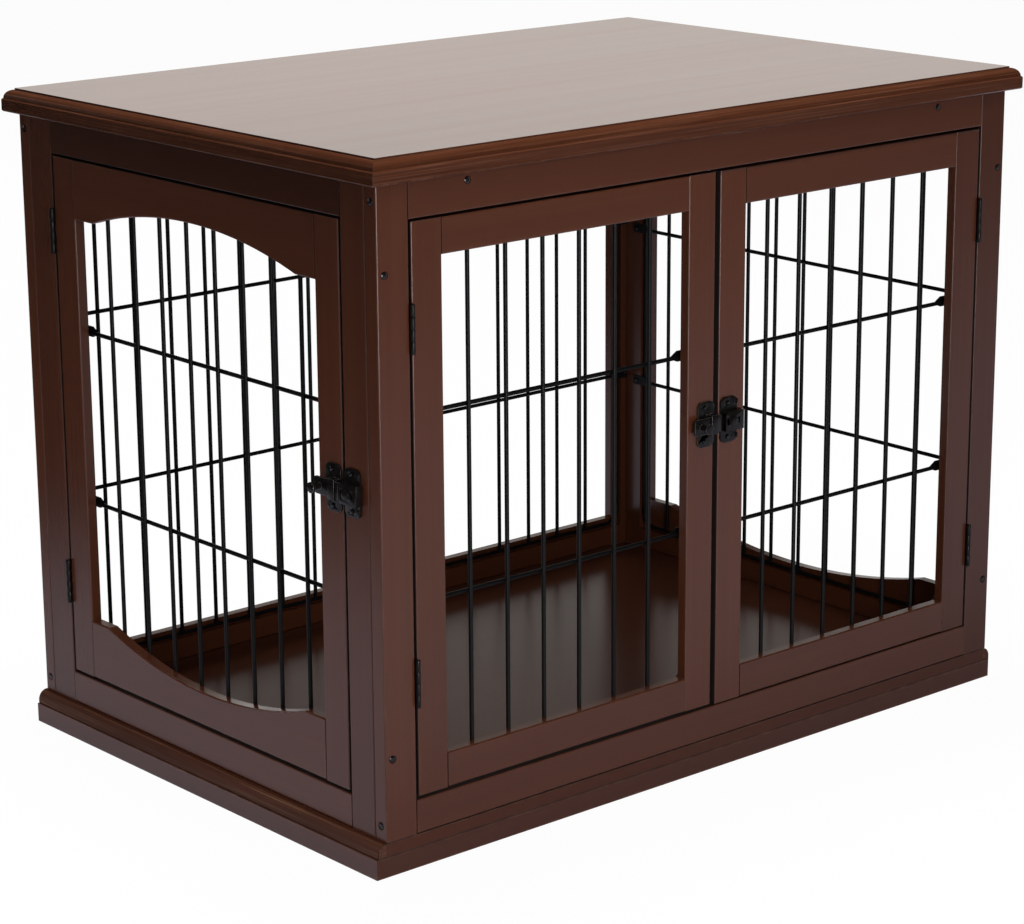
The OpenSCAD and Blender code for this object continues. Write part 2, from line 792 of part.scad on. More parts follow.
module back_top_rail() { back_rail(open_z1, wall_z1); }
module back_bottom_rail() { back_rail(wall_z0, open_z0); }
module back_grid() {
    wire() at_back() grid(-long_half, long_half, open_z0, open_z1, back_bars, wall_offsets,
        back_bar_shift, back_tab_foot, back_tab_screw);
}

// Stiles of the side frames stand between the front and back frames
module side_frame_holes() {
    at_front() frame_screw_set(true);
    at_back() frame_screw_set(true);
}

module left_front_stile() {
    wood() difference() {
        at_left() difference() {
            wall_stile(short_span, 1, keeper_post);
            side_latch_spot() latch_holes(keeper_hole_u(side_gap));
        }
        side_frame_holes();
    }
}

module left_back_stile() {
    wood() difference() {
        at_left() difference() {
            wall_stile(short_span, -1, hinge_post);
            at_hinge(SIDE) for (z = side_hinges) leaf_screws(-1, z, true);
        }
        side_frame_holes();
    }
}

module left_top_rail() { wood() at_left() level(left_x0, left_x1, open_z1, wall_z1); }
module left_bottom_rail() { wood() at_left() level(left_x0, left_x1, wall_z0, open_z0); }

module right_stile(side) {
    wood() difference() {
        at_right() difference() {
            wall_stile(short_span, side);
            wall_rebate(short_half);
            tab_holes(-short_half, short_half, right_offsets, mid_z);
        }
        side_frame_holes();
    }
}

module right_front_stile() { right_stile(-1); }
module right_back_stile() { right_stile(1); }

module right_top_rail() {
    wood() at_right() difference() {
        arched_top_rail(-short_half, short_half, open_z1, wall_z1);
        wall_rebate(short_half);
    }
}

module right_bottom_rail() {
    wood() at_right() difference() {
        arched_bottom_rail(-short_half, short_half, wall_z0, open_z0);
        wall_rebate(short_half);
    }
}

module right_grid() {
    wire() at_right() grid(-short_half, short_half, open_z0, open_z1, right_bars, right_offsets,
        right_bar_shift);
}

module frame_screws() {
    fitting() {
        at_front() frame_screw_set();
        at_back() frame_screw_set();
    }
}

module grid_screws() {
    fitting() {
        at_back() grid_tab_screws(-long_half, long_half, wall_offsets, mid_z, back_tab_screw);
        at_right() grid_tab_screws(-short_half, short_half, right_offsets, mid_z);
    }
}

module frame_hinge_screws() {
    fitting() {
        at_front() at_hinge(FRONT_LEFT) for (z = front_left_hinges) leaf_screws(-1, z);
        at_front() at_hinge(FRONT_RIGHT) for (z = front_right_hinges) leaf_screws(-1, z);
        at_left() at_hinge(SIDE) for (z = side_hinges) leaf_screws(-1, z);
    }
}

module frame_hinge_leaves() {
    fitting() {
        at_front() at_hinge(FRONT_LEFT) for (z = front_left_hinges) frame_leaf(z);
        at_front() at_hinge(FRONT_RIGHT) for (z = front_right_hinges) frame_leaf(z);
        at_left() at_hinge(SIDE) for (z = side_hinges) frame_leaf(z);
    }
}

module hinge_pins() {
    steel() {
        at_front() at_hinge(FRONT_LEFT) for (z = front_left_hinges) hinge_pin(z);
        at_front() at_hinge(FRONT_RIGHT) for (z = front_right_hinges) hinge_pin(z);
        at_left() at_hinge(SIDE) for (z = side_hinges) hinge_pin(z);
    }
}

module side_keeper() { fitting() at_side_latch() keeper(side_gap); }
module side_keeper_screws() { fitting() at_side_latch() plate_screws(keeper_hole_u(side_gap)); }

// Left front door
module left_door_hinge_stile() { wood() at_front() door_hinge_stile(FRONT_LEFT, front_left_hinges); }
module left_door_lock_stile() {
    wood() at_front() difference() {
        door_stile_at(FRONT_LEFT, 1);
        front_latch_spot() latch_holes(bolt_screw_u(meeting_gap));
    }
}
module left_door_top_rail() { wood() at_front() door_top_rail(FRONT_LEFT); }
module left_door_bottom_rail() { wood() at_front() door_bottom_rail(FRONT_LEFT); }
module left_door_grid() { wire() at_front() door_grid(FRONT_LEFT); }
module left_door_hinge_leaves() {
    fitting() at_front() at_hinge(FRONT_LEFT) for (z = front_left_hinges) door_leaf(z);
}
module front_bolt_plate() { fitting() at_front_latch() bolt_plate(meeting_gap); }
module left_door_screws() {
    fitting() {
        at_front() door_screw_set(FRONT_LEFT, front_left_hinges);
        at_front_latch() plate_screws(bolt_screw_u(meeting_gap));
    }
}
module front_bolt() { fitting() at_front_latch() bolt(); }

// Right front door
module right_door_hinge_stile() { wood() at_front() door_hinge_stile(FRONT_RIGHT, front_right_hinges); }
module right_door_lock_stile() {
    wood() at_front() difference() {
        door_stile_at(FRONT_RIGHT, -1);
        front_latch_spot() latch_holes(keeper_hole_u(meeting_gap));
    }
}
module right_door_top_rail() { wood() at_front() door_top_rail(FRONT_RIGHT); }
module right_door_bottom_rail() { wood() at_front() door_bottom_rail(FRONT_RIGHT); }
module right_door_grid() { wire() at_front() door_grid(FRONT_RIGHT); }
module right_door_hinge_leaves() {
    fitting() at_front() at_hinge(FRONT_RIGHT) for (z = front_right_hinges) door_leaf(z);
}
module front_keeper() { fitting() at_front_latch() keeper(meeting_gap); }
module right_door_screws() {
    fitting() {
        at_front() door_screw_set(FRONT_RIGHT, front_right_hinges);
        at_front_latch() plate_screws(keeper_hole_u(meeting_gap));
    }
}

// Side door
module side_door_hinge_stile() { wood() at_left() door_hinge_stile(SIDE, side_hinges); }
module side_door_lock_stile() {
    wood() at_left() difference() {
        door_stile_at(SIDE, 1);
        side_latch_spot() latch_holes(bolt_screw_u(side_gap));
    }
}
module side_door_top_rail() { wood() at_left() door_top_rail(SIDE); }
module side_door_bottom_rail() { wood() at_left() door_bottom_rail(SIDE); }
module side_door_grid() { wire() at_left() door_grid(SIDE); }
module side_door_hinge_leaves() { fitting() at_left() at_hinge(SIDE) for (z = side_hinges) door_leaf(z); }
module side_bolt_plate() { fitting() at_side_latch() bolt_plate(side_gap); }
module side_door_screws() {
    fitting() {
        at_left() door_screw_set(SIDE, side_hinges);
        at_side_latch() plate_screws(bolt_screw_u(side_gap));
    }
}
module side_bolt() { fitting() at_side_latch() bolt(); }

top_board();
floor_board();
base_front_rail();
base_back_rail();
base_left_rail();
base_right_rail();
front_batten();
back_batten();
front_left_stile();
front_right_stile();
front_top_rail();
front_bottom_rail();
back_left_stile();
back_right_stile();
back_top_rail();
back_bottom_rail();
back_grid();
left_front_stile();
left_back_stile();
left_top_rail();
left_bottom_rail();
right_front_stile();
right_back_stile();
right_top_rail();
right_bottom_rail();
right_grid();
frame_screws();
grid_screws();
frame_hinge_screws();
frame_hinge_leaves();
hinge_pins();
side_keeper();
side_keeper_screws();
left_door_hinge_stile();
left_door_lock_stile();
left_door_top_rail();
left_door_bottom_rail();
left_door_grid();
left_door_hinge_leaves();
front_bolt_plate();
left_door_screws();
front_bolt();
right_door_hinge_stile();
right_door_lock_stile();
right_door_top_rail();
right_door_bottom_rail();
right_door_grid();
right_door_hinge_leaves();
front_keeper();
right_door_screws();
side_door_hinge_stile();
side_door_lock_stile();
side_door_top_rail();
side_door_bottom_rail();
side_door_grid();
side_door_hinge_leaves();
side_bolt_plate();
side_door_screws();
side_bolt();
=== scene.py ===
"""Looks of the furniture-style pet crate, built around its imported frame.

Every length is in metres in the part's own frame: the double doors face -Y, the single door faces -X
and +Z is up.
"""

import logging
import math
from dataclasses import dataclass, field, replace
from enum import Enum
from typing import Any, Iterable

import bmesh
import bpy
from mathutils import Matrix, Vector

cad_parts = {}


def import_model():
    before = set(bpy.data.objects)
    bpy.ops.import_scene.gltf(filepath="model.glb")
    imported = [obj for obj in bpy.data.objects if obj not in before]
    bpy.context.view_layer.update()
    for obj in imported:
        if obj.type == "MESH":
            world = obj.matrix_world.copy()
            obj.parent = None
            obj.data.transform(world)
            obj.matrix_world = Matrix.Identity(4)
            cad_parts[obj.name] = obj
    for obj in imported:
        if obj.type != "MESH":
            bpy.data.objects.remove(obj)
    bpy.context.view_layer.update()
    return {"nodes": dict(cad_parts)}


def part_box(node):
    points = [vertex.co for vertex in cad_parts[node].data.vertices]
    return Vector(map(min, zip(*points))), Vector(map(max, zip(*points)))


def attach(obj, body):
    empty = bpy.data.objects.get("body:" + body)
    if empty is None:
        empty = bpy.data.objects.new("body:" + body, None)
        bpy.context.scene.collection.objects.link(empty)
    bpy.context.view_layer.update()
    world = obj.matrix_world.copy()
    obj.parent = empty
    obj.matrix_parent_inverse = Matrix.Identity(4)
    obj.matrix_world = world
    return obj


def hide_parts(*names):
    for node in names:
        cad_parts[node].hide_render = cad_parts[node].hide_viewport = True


LOG = logging.getLogger("pet_crate")
MERGE_GAP = 0.000002
FACE_GAP = 0.0004
SMOOTH_ANGLE = math.radians(32.0)

RGB = tuple[float, float, float]
Socket = bpy.types.NodeSocket


class Grain(Enum):
    """Which way the grain of a board runs."""

    ALONG_X = "x"
    ALONG_Y = "y"
    ALONG_Z = "z"


GRAIN_TURN: dict[Grain, RGB] = {
    Grain.ALONG_X: (0.0, 0.0, 0.0),
    Grain.ALONG_Y: (0.0, 0.0, -math.pi / 2),
    Grain.ALONG_Z: (0.0, math.pi / 2, 0.0),
}


# Shader helpers


class Sheet:
    """Adds and links the nodes of one shader tree."""

    def __init__(self, tree: bpy.types.NodeTree) -> None:
        """Keeps the tree."""
        self.tree = tree

    def add(self, kind: str, inputs: dict[Any, Any] | None = None, **settings: Any) -> bpy.types.Node:
        """Adds a node, sets its properties and fills or links its inputs.

        Args:
            kind: The node's type name.
            inputs: Values or output sockets by input name or number.
            settings: Properties of the node.

        Returns:
            The new node.
        """
        node = self.tree.nodes.new(kind)
        for name, value in settings.items():
            setattr(node, name, value)
        for name, value in (inputs or {}).items():
            if isinstance(value, Socket):
                self.tree.links.new(value, node.inputs[name])
            else:
                node.inputs[name].default_value = value
        return node

    def link(self, value: Socket, node: bpy.types.Node, name: str) -> None:
        """Links a socket to one input of a node."""
        self.tree.links.new(value, node.inputs[name])

    def math(self, operation: str, a: Any, b: Any = 0.0, c: Any = 0.0, clamp: bool = False) -> Socket:
        """Adds a Math node.

        Args:
            operation: The node's operation.
            a: First value or socket.
            b: Second value or socket.
            c: Third value or socket.
            clamp: Whether the result stays within 0 and 1.

        Returns:
            The result's socket.
        """
        values = {0: a, 1: b, 2: c}
        return self.add("ShaderNodeMath", values, operation=operation, use_clamp=clamp).outputs[0]

    def vector(self, operation: str, a: Any, b: Any = (0.0, 0.0, 0.0)) -> Socket:
        """Adds a Vector Math node and returns its vector output."""
        return self.add("ShaderNodeVectorMath", {0: a, 1: b}, operation=operation).outputs["Vector"]

    def measure(self, operation: str, a: Any, b: Any = (0.0, 0.0, 0.0)) -> Socket:
        """Adds a Vector Math node and returns its value output."""
        return self.add("ShaderNodeVectorMath", {0: a, 1: b}, operation=operation).outputs["Value"]

    def split(self, vector: Socket) -> list[Socket]:
        """Adds a Separate XYZ node and returns its three outputs."""
        return list(self.add("ShaderNodeSeparateXYZ", {0: vector}).outputs)

    def ramp(self, value: Any, low: Any, high: Any, to_low: float = 0.0, to_high: float = 1.0) -> Socket:
        """Maps a value smoothly from one range to another.

        Args:
            value: The socket to map.
            low: Start of the source range.
            high: End of the source range.
            to_low: Result at the start.
            to_high: Result at the end.

        Returns:
            The result's socket.
        """
        values = {"Value": value, "From Min": low, "From Max": high, "To Min": to_low, "To Max": to_high}
        return self.add("ShaderNodeMapRange", values, interpolation_type="SMOOTHSTEP").outputs["Result"]

    def blend(self, factor: Any, a: Any, b: Any) -> Socket:
        """Mixes two colours.

        Args:
            factor: Share of the second colour, a value or a socket.
            a: First colour or socket.
            b: Second colour or socket.

        Returns:
            The mixed colour's socket.
        """
        node = self.add("ShaderNodeMix", data_type="RGBA")
        for name, kind, value in (("Factor", "VALUE", factor), ("A", "RGBA", a), ("B", "RGBA", b)):
            socket = next(s for s in node.inputs if s.name == name and s.type == kind)
            if isinstance(value, Socket):
                self.tree.links.new(value, socket)
            else:
                socket.default_value = value
        return next(s for s in node.outputs if s.type == "RGBA")

    def group(self, name: str, place: Socket, values: dict[str, Any]) -> bpy.types.Node:
        """Adds a node group, links its vector and sets its values.

        Args:
            name: The group's name.
            place: The socket for its vector.
            values: Values by input name.

        Returns:
            The group's node.
        """
        node = self.add("ShaderNodeGroup", node_tree=bpy.data.node_groups[name])
        for label, value in values.items():
            node.inputs[label].default_value = value
        self.link(place, node, "Vector")
        return node

    def noise(self, vector: Any, scale: Any, detail: float = 2.0, roughness: float = 0.5) -> Socket:
        """Adds a Noise Texture and returns its value."""
        inputs = {"Vector": vector, "Scale": scale, "Detail": detail, "Roughness": roughness}
        return self.add("ShaderNodeTexNoise", inputs).outputs[0]

    def depth_in_box(self, given: bpy.types.Node) -> Socket:
        """Measures how far inside a box a point lies, from the nearer of its two sides along each axis.

        Args:
            given: Input node of a group with the point and the box's corners.

        Returns:
            The three distances as one vector.
        """
        place = given.outputs["Vector"]
        above = self.vector("SUBTRACT", place, given.outputs["Low"])
        below = self.vector("SUBTRACT", given.outputs["High"], place)
        return self.vector("MINIMUM", above, below)


def scaled(colour: RGB, factor: float) -> RGB:
    """Multiplies each part of a colour or a vector."""
    return tuple(factor * part for part in colour)


def rgba(colour: RGB) -> tuple[float, float, float, float]:
    """Gives a colour its full alpha."""
    return (*colour, 1.0)


def new_material(name: str) -> tuple[bpy.types.Material, Sheet, bpy.types.Node]:
    """Makes a material with a Principled shader.

    Args:
        name: The material's name.

    Returns:
        The material, the sheet of its nodes and its shader.
    """
    material = bpy.data.materials.new(name)
    material.use_nodes = True
    return material, Sheet(material.node_tree), material.node_tree.nodes["Principled BSDF"]


def new_group(
    name: str, inputs: dict[str, tuple[str, Any]], outputs: dict[str, str]
) -> tuple[bpy.types.NodeTree, Sheet, bpy.types.Node, bpy.types.Node]:
    """Makes an empty shader node group.

    Args:
        name: The group's name.
        inputs: Socket type and default value by name.
        outputs: Socket type by name.

    Returns:
        The group, its sheet, its input node and its output node.
    """
    group = bpy.data.node_groups.new(name, "ShaderNodeTree")
    for label, (kind, default) in inputs.items():
        socket = group.interface.new_socket(name=label, in_out="INPUT", socket_type=kind)
        socket.default_value = default
    for label, kind in outputs.items():
        group.interface.new_socket(name=label, in_out="OUTPUT", socket_type=kind)
    sheet = Sheet(group)
    return group, sheet, sheet.add("NodeGroupInput"), sheet.add("NodeGroupOutput")


# Effects shared by the materials

FLOAT, COLOUR, VECTOR = "NodeSocketFloat", "NodeSocketColor", "NodeSocketVector"
POINT: dict[str, tuple[str, Any]] = {"Vector": (VECTOR, (0.0, 0.0, 0.0))}
BOX: dict[str, tuple[str, Any]] = {
    **POINT,
    "Low": (VECTOR, (0.0, 0.0, 0.0)),
    "High": (VECTOR, (1.0, 1.0, 1.0)),
}
FIBRE_SPREAD: RGB = (2.2, 260.0, 260.0)
STREAK_SPREAD: RGB = (1.1, 46.0, 46.0)
DRIFT_SPREAD: RGB = (1.6, 5.0, 5.0)
MOULDING_ALONG, MOULDING_ACROSS = 5.0, 620.0


def make_grain_group() -> bpy.types.NodeTree:
    """Stained wood seen through lacquer: long fibres, drifting tone and the lacquer's faint ripple.

    Returns:
        The group. Its vector runs along the grain on X.
    """
    group, s, given, out = new_group(
        "stained_grain",
        {
            **POINT,
            "Dark": (COLOUR, (0.03, 0.01, 0.006, 1.0)),
            "Light": (COLOUR, (0.09, 0.03, 0.02, 1.0)),
            "Fibre": (FLOAT, 0.5),
            "Drift": (FLOAT, 0.5),
        },
        {"Color": COLOUR, "Roughness": FLOAT, "Height": FLOAT},
    )
    place = given.outputs["Vector"]
    fibre = s.noise(s.vector("MULTIPLY", place, FIBRE_SPREAD), 1.0, 5.0, 0.62)
    streak = s.noise(s.vector("MULTIPLY", place, STREAK_SPREAD), 1.0, 3.0, 0.5)
    drift = s.noise(s.vector("MULTIPLY", place, DRIFT_SPREAD), 1.0, 2.0, 0.5)
    lines = s.math("ADD", s.math("MULTIPLY", s.math("SUBTRACT", fibre, 0.5), given.outputs["Fibre"]), 0.5)
    broad = s.math("MULTIPLY", s.math("SUBTRACT", streak, 0.5), given.outputs["Fibre"])
    slow = s.math("MULTIPLY", s.math("SUBTRACT", drift, 0.5), given.outputs["Drift"])
    tone = s.math("ADD", s.math("ADD", lines, broad), slow, clamp=True)
    s.link(s.blend(tone, given.outputs["Dark"], given.outputs["Light"]), out, "Color")
    ripple = s.noise(place, 95.0, 2.0, 0.4)
    s.link(s.math("ADD", s.math("MULTIPLY", fibre, 0.55), s.math("MULTIPLY", ripple, 0.45)), out, "Height")
    s.link(s.math("MULTIPLY_ADD", s.math("SUBTRACT", streak, 0.5), 0.35, 0.5), out, "Roughness")
    return group


def make_edge_group() -> bpy.types.NodeTree:
    """Finds the edges of a board from its box: thin stain along them and the dark line of a joint.

    Returns:
        The group. Its masks are 1 on a worn edge and in a joint.
    """
    group, s, given, out = new_group(
        "board_edges",
        {**BOX, "Width": (FLOAT, 0.002), "Amount": (FLOAT, 0.5), "Joint": (FLOAT, 0.0008)},
        {"Mask": FLOAT, "Joint": FLOAT},
    )
    a, b, c = s.split(s.depth_in_box(given))
    least, most = s.math("MINIMUM", a, b), s.math("MAXIMUM", a, b)
    middle = s.math("MAXIMUM", least, s.math("MINIMUM", most, c))
    line = s.math("SUBTRACT", 1.0, s.math("DIVIDE", middle, given.outputs["Width"]), clamp=True)
    broken = s.ramp(s.noise(given.outputs["Vector"], 60.0, 4.0, 0.65), 0.42, 0.72)
    mask = s.math("MULTIPLY", s.math("MULTIPLY", line, broken), given.outputs["Amount"], clamp=True)
    s.link(mask, out, "Mask")
    s.link(s.ramp(middle, 0.0, given.outputs["Joint"], 1.0, 0.0), out, "Joint")
    return group


def make_gap_group() -> bpy.types.NodeTree:
    """Finds the faces inside the gap round a door, which painted shade makes nearly black.

    Returns:
        The group. Its box is the door's, its inward axis points into the wall from the wall's face.
    """
    group, s, given, out = new_group(
        "door_gap",
        {**BOX, "Inward": (VECTOR, (0.0, 1.0, 0.0)), "Face": (FLOAT, 0.0), "Room": (FLOAT, 0.004)},
        {"Mask": FLOAT},
    )
    place = given.outputs["Vector"]
    under = s.vector("SUBTRACT", given.outputs["Low"], place)
    over = s.vector("SUBTRACT", place, given.outputs["High"])
    a, b, c = s.split(s.vector("MAXIMUM", under, over))
    outside = s.math("MAXIMUM", s.math("MAXIMUM", a, b), c)
    near = s.math("LESS_THAN", outside, given.outputs["Room"])
    band = s.math("MULTIPLY", s.math("GREATER_THAN", outside, -0.0003), near)
    depth = s.measure("DOT_PRODUCT", place, given.outputs["Inward"])
    deep = s.ramp(s.math("SUBTRACT", depth, given.outputs["Face"]), 0.0002, 0.0010)
    s.link(s.math("MULTIPLY", band, deep), out, "Mask")
    return group


def make_moulding_group() -> bpy.types.NodeTree:
    """Streaks that follow the moulded edge of a board round its corners.

    Returns:
        The group. Its mask is 1 on the moulding, its streak runs from 0 to 1.
    """
    group, s, given, out = new_group(
        "moulded_edge",
        {**BOX, "Inset": (FLOAT, 0.01), "Step": (FLOAT, 0.001)},
        {"Mask": FLOAT, "Streak": FLOAT},
    )
    a, b, _ = s.split(s.depth_in_box(given))
    x, y, z = s.split(given.outputs["Vector"])
    side = s.math("MINIMUM", a, b)
    step = s.math("SUBTRACT", s.split(given.outputs["High"])[2], given.outputs["Step"])
    on_rim = s.math("LESS_THAN", side, given.outputs["Inset"])
    s.link(s.math("MULTIPLY", on_rim, s.math("LESS_THAN", z, step)), out, "Mask")
    on_x = s.math("LESS_THAN", a, b)
    along_x = s.math("MULTIPLY", s.math("SUBTRACT", 1.0, on_x), x)
    along = s.math("ADD", s.math("MULTIPLY", on_x, y), along_x)
    spread = {
        "X": s.math("MULTIPLY", along, MOULDING_ALONG),
        "Y": s.math("MULTIPLY", side, MOULDING_ACROSS),
        "Z": s.math("MULTIPLY", z, MOULDING_ACROSS),
    }
    run = s.add("ShaderNodeCombineXYZ", spread).outputs[0]
    s.link(s.noise(run, 1.0, 4.0, 0.7), out, "Streak")
    return group


def make_recess_group() -> bpy.types.NodeTree:
    """The cross recess of a screw head, from its UV map: 0 in the head's middle and 1 at its rim.

    Returns:
        The group. Its mask is 1 in the recess and its rim is 1 where the head meets the wood.
    """
    group, s, given, out = new_group("cross_recess", POINT, {"Mask": FLOAT, "Rim": FLOAT})
    u, v, _ = s.split(s.vector("ABSOLUTE", given.outputs["Vector"]))
    thin, long = s.math("MINIMUM", u, v), s.math("MAXIMUM", u, v)
    mask = s.math("MULTIPLY", s.ramp(thin, 0.10, 0.20, 1.0, 0.0), s.ramp(long, 0.45, 0.6, 1.0, 0.0))
    s.link(mask, out, "Mask")
    s.link(s.ramp(s.measure("LENGTH", given.outputs["Vector"]), 0.66, 0.84), out, "Rim")
    return group


def make_coat_group() -> bpy.types.NodeTree:
    """Black coating on metal: fine texture and small rubbed spots.

    Returns:
        The group.
    """
    group, s, given, out = new_group(
        "black_coating",
        {
            **POINT,
            "Coat": (COLOUR, (0.01, 0.01, 0.01, 1.0)),
            "Rubbed": (COLOUR, (0.05, 0.048, 0.045, 1.0)),
            "Scale": (FLOAT, 900.0),
            "Wear": (FLOAT, 0.3),
            "Roughness": (FLOAT, 0.35),
        },
        {"Color": COLOUR, "Roughness": FLOAT, "Height": FLOAT},
    )
    place = given.outputs["Vector"]
    patch = s.noise(place, 130.0, 4.0, 0.7)
    rubbed = s.math("MULTIPLY", s.ramp(patch, 0.58, 0.74), given.outputs["Wear"], clamp=True)
    s.link(s.blend(rubbed, given.outputs["Coat"], given.outputs["Rubbed"]), out, "Color")
    drift = s.math("MULTIPLY", s.math("SUBTRACT", patch, 0.5), 0.3)
    s.link(s.math("ADD", given.outputs["Roughness"], drift, clamp=True), out, "Roughness")
    s.link(s.noise(place, given.outputs["Scale"], 3.0), out, "Height")
    return group


# Finishes

# Near black: the dark line of a joint, and painted shade inside the gaps round the doors.
CRACK_AND_GAP_SHADE: RGB = (0.010, 0.0035, 0.002)
# Dark brown of the painted shade on the floor board's top face.
PAINTED_SHADE_BROWN: RGB = (0.008, 0.003, 0.0016)
# Near black painted shade in a screw's cross recess and round its head.
RECESS_PAINTED_SHADE: RGB = (0.0015, 0.0012, 0.0012)
MOULDING_STEP = 0.0006


@dataclass(frozen=True)
class Leaf:
    """Where a door hangs in its wall: its box, the way into the wall and the wall's face along it."""

    low: Vector
    high: Vector
    inward: RGB
    face: float
    room: float = 0.0046


@dataclass(frozen=True)
class Moulding:
    """A moulded edge: its width, how far its box reaches past the ends and how strongly painted shade darkens
    the top face.
    """

    inset: float
    reach: float = 0.0
    shade: float = 0.0


@dataclass(frozen=True)
class Cut:
    """How one board was cut: its grain, its place in the wood, its tone, which for some boards is painted
    light and shade, and what lies beside it.
    """

    grain: Grain
    offset: RGB
    low: Vector
    high: Vector
    tone: float = 1.0
    leaf: Leaf | None = None
    moulding: Moulding | None = None


@dataclass(frozen=True)
class Lacquer:
    """Stained wood under gloss lacquer."""

    dark: RGB
    light: RGB
    worn: RGB
    fibre: float = 0.5
    drift: float = 0.35
    gloss: float = 0.16
    gloss_spread: float = 0.16
    relief: float = 0.00006
    wear: float = 0.6
    wear_width: float = 0.0022
    joint: float = 0.75
    joint_width: float = 0.0009
    streak: float = 0.5
    matt: float = 0.0
    specular: float = 0.5

    def material(self, name: str, cut: Cut) -> bpy.types.Material:
        """Makes the finish for one board.

        Args:
            name: The material's name.
            cut: How the board was cut.

        Returns:
            The material.
        """
        material, s, shader = new_material(name)
        shader.inputs["Specular IOR Level"].default_value = self.specular
        place = s.add("ShaderNodeTexCoord").outputs["Object"]
        grain = self.grain(s, place, cut)
        edge_values = {
            "Low": cut.low,
            "High": cut.high,
            "Width": self.wear_width,
            "Amount": self.wear,
            "Joint": self.joint_width,
        }
        edges = s.group("board_edges", place, edge_values)
        colour = s.blend(edges.outputs["Mask"], grain.outputs["Color"], rgba(self.worn))
        rough = s.math("MULTIPLY_ADD", grain.outputs["Roughness"], self.gloss_spread, self.gloss)
        if cut.moulding:
            colour, rough = self.moulded(s, place, cut, colour, rough)
        # Dark joint lines, with painted shade inside the door gaps.
        crack_and_shade = s.math("MULTIPLY", edges.outputs["Joint"], self.joint)
        if cut.leaf:
            crack_and_shade = s.math("MAXIMUM", crack_and_shade, self.door_gap(s, place, cut.leaf))
        s.link(s.blend(crack_and_shade, colour, rgba(CRACK_AND_GAP_SHADE)), shader, "Base Color")
        s.link(s.math("ADD", rough, s.math("MULTIPLY", crack_and_shade, 0.5), clamp=True), shader, "Roughness")
        height = grain.outputs["Height"]
        bump = s.add("ShaderNodeBump", {"Strength": 1.0, "Distance": self.relief, "Height": height})
        s.link(bump.outputs[0], shader, "Normal")
        return material

    def grain(self, s: Sheet, place: Socket, cut: Cut) -> bpy.types.Node:
        """Adds the grain, turned and shifted to the board's place in the wood.

        Args:
            s: The material's sheet.
            place: The object coordinates.
            cut: How the board was cut.

        Returns:
            The grain's group node.
        """
        turn = {"Vector": place, "Location": cut.offset, "Rotation": GRAIN_TURN[cut.grain]}
        turned = s.add("ShaderNodeMapping", turn).outputs[0]
        values = {
            "Dark": rgba(scaled(self.dark, cut.tone)),
            "Light": rgba(scaled(self.light, cut.tone)),
            "Fibre": self.fibre,
            "Drift": self.drift,
        }
        return s.group("stained_grain", turned, values)

    def door_gap(self, s: Sheet, place: Socket, leaf: Leaf) -> Socket:
        """Adds painted shade on the faces inside the gap round a door.

        Args:
            s: The material's sheet.
            place: The object coordinates.
            leaf: Where the door hangs.

        Returns:
            The mask's socket.
        """
        values = {
            "Low": leaf.low,
            "High": leaf.high,
            "Inward": leaf.inward,
            "Face": leaf.face,
            "Room": leaf.room,
        }
        return s.group("door_gap", place, values).outputs["Mask"]

    def moulded(
        self, s: Sheet, place: Socket, cut: Cut, colour: Socket, rough: Socket
    ) -> tuple[Socket, Socket]:
        """Adds painted shade on the board's top face and pale and dark streaks along its moulded edge.

        Args:
            s: The material's sheet.
            place: The object coordinates.
            cut: How the board was cut.
            colour: The board's colour so far.
            rough: The board's roughness so far.

        Returns:
            The colour and the roughness with the moulding.
        """
        edge = cut.moulding
        # Painted shade: the board's top face is darkened towards a dark brown.
        if edge.shade:
            face = s.math("GREATER_THAN", s.split(place)[2], cut.high.z - FACE_GAP)
            colour = s.blend(s.math("MULTIPLY", face, edge.shade), colour, rgba(PAINTED_SHADE_BROWN))
        past = Vector((0.0, edge.reach, 0.0))
        values = {"Low": cut.low - past, "High": cut.high + past, "Inset": edge.inset, "Step": MOULDING_STEP}
        node = s.group("moulded_edge", place, values)
        mask, streak = node.outputs["Mask"], node.outputs["Streak"]
        pale = s.math("MULTIPLY", mask, s.ramp(streak, 0.5, 0.78, 0.0, self.streak))
        deep = s.math("MULTIPLY", mask, s.ramp(streak, 0.5, 0.3, 0.0, 0.6))
        colour = s.blend(deep, s.blend(pale, colour, rgba(self.worn)), rgba(scaled(self.dark, 0.5)))
        if self.matt:
            rough = s.math("ADD", rough, s.math("MULTIPLY", mask, self.matt))
        return colour, rough


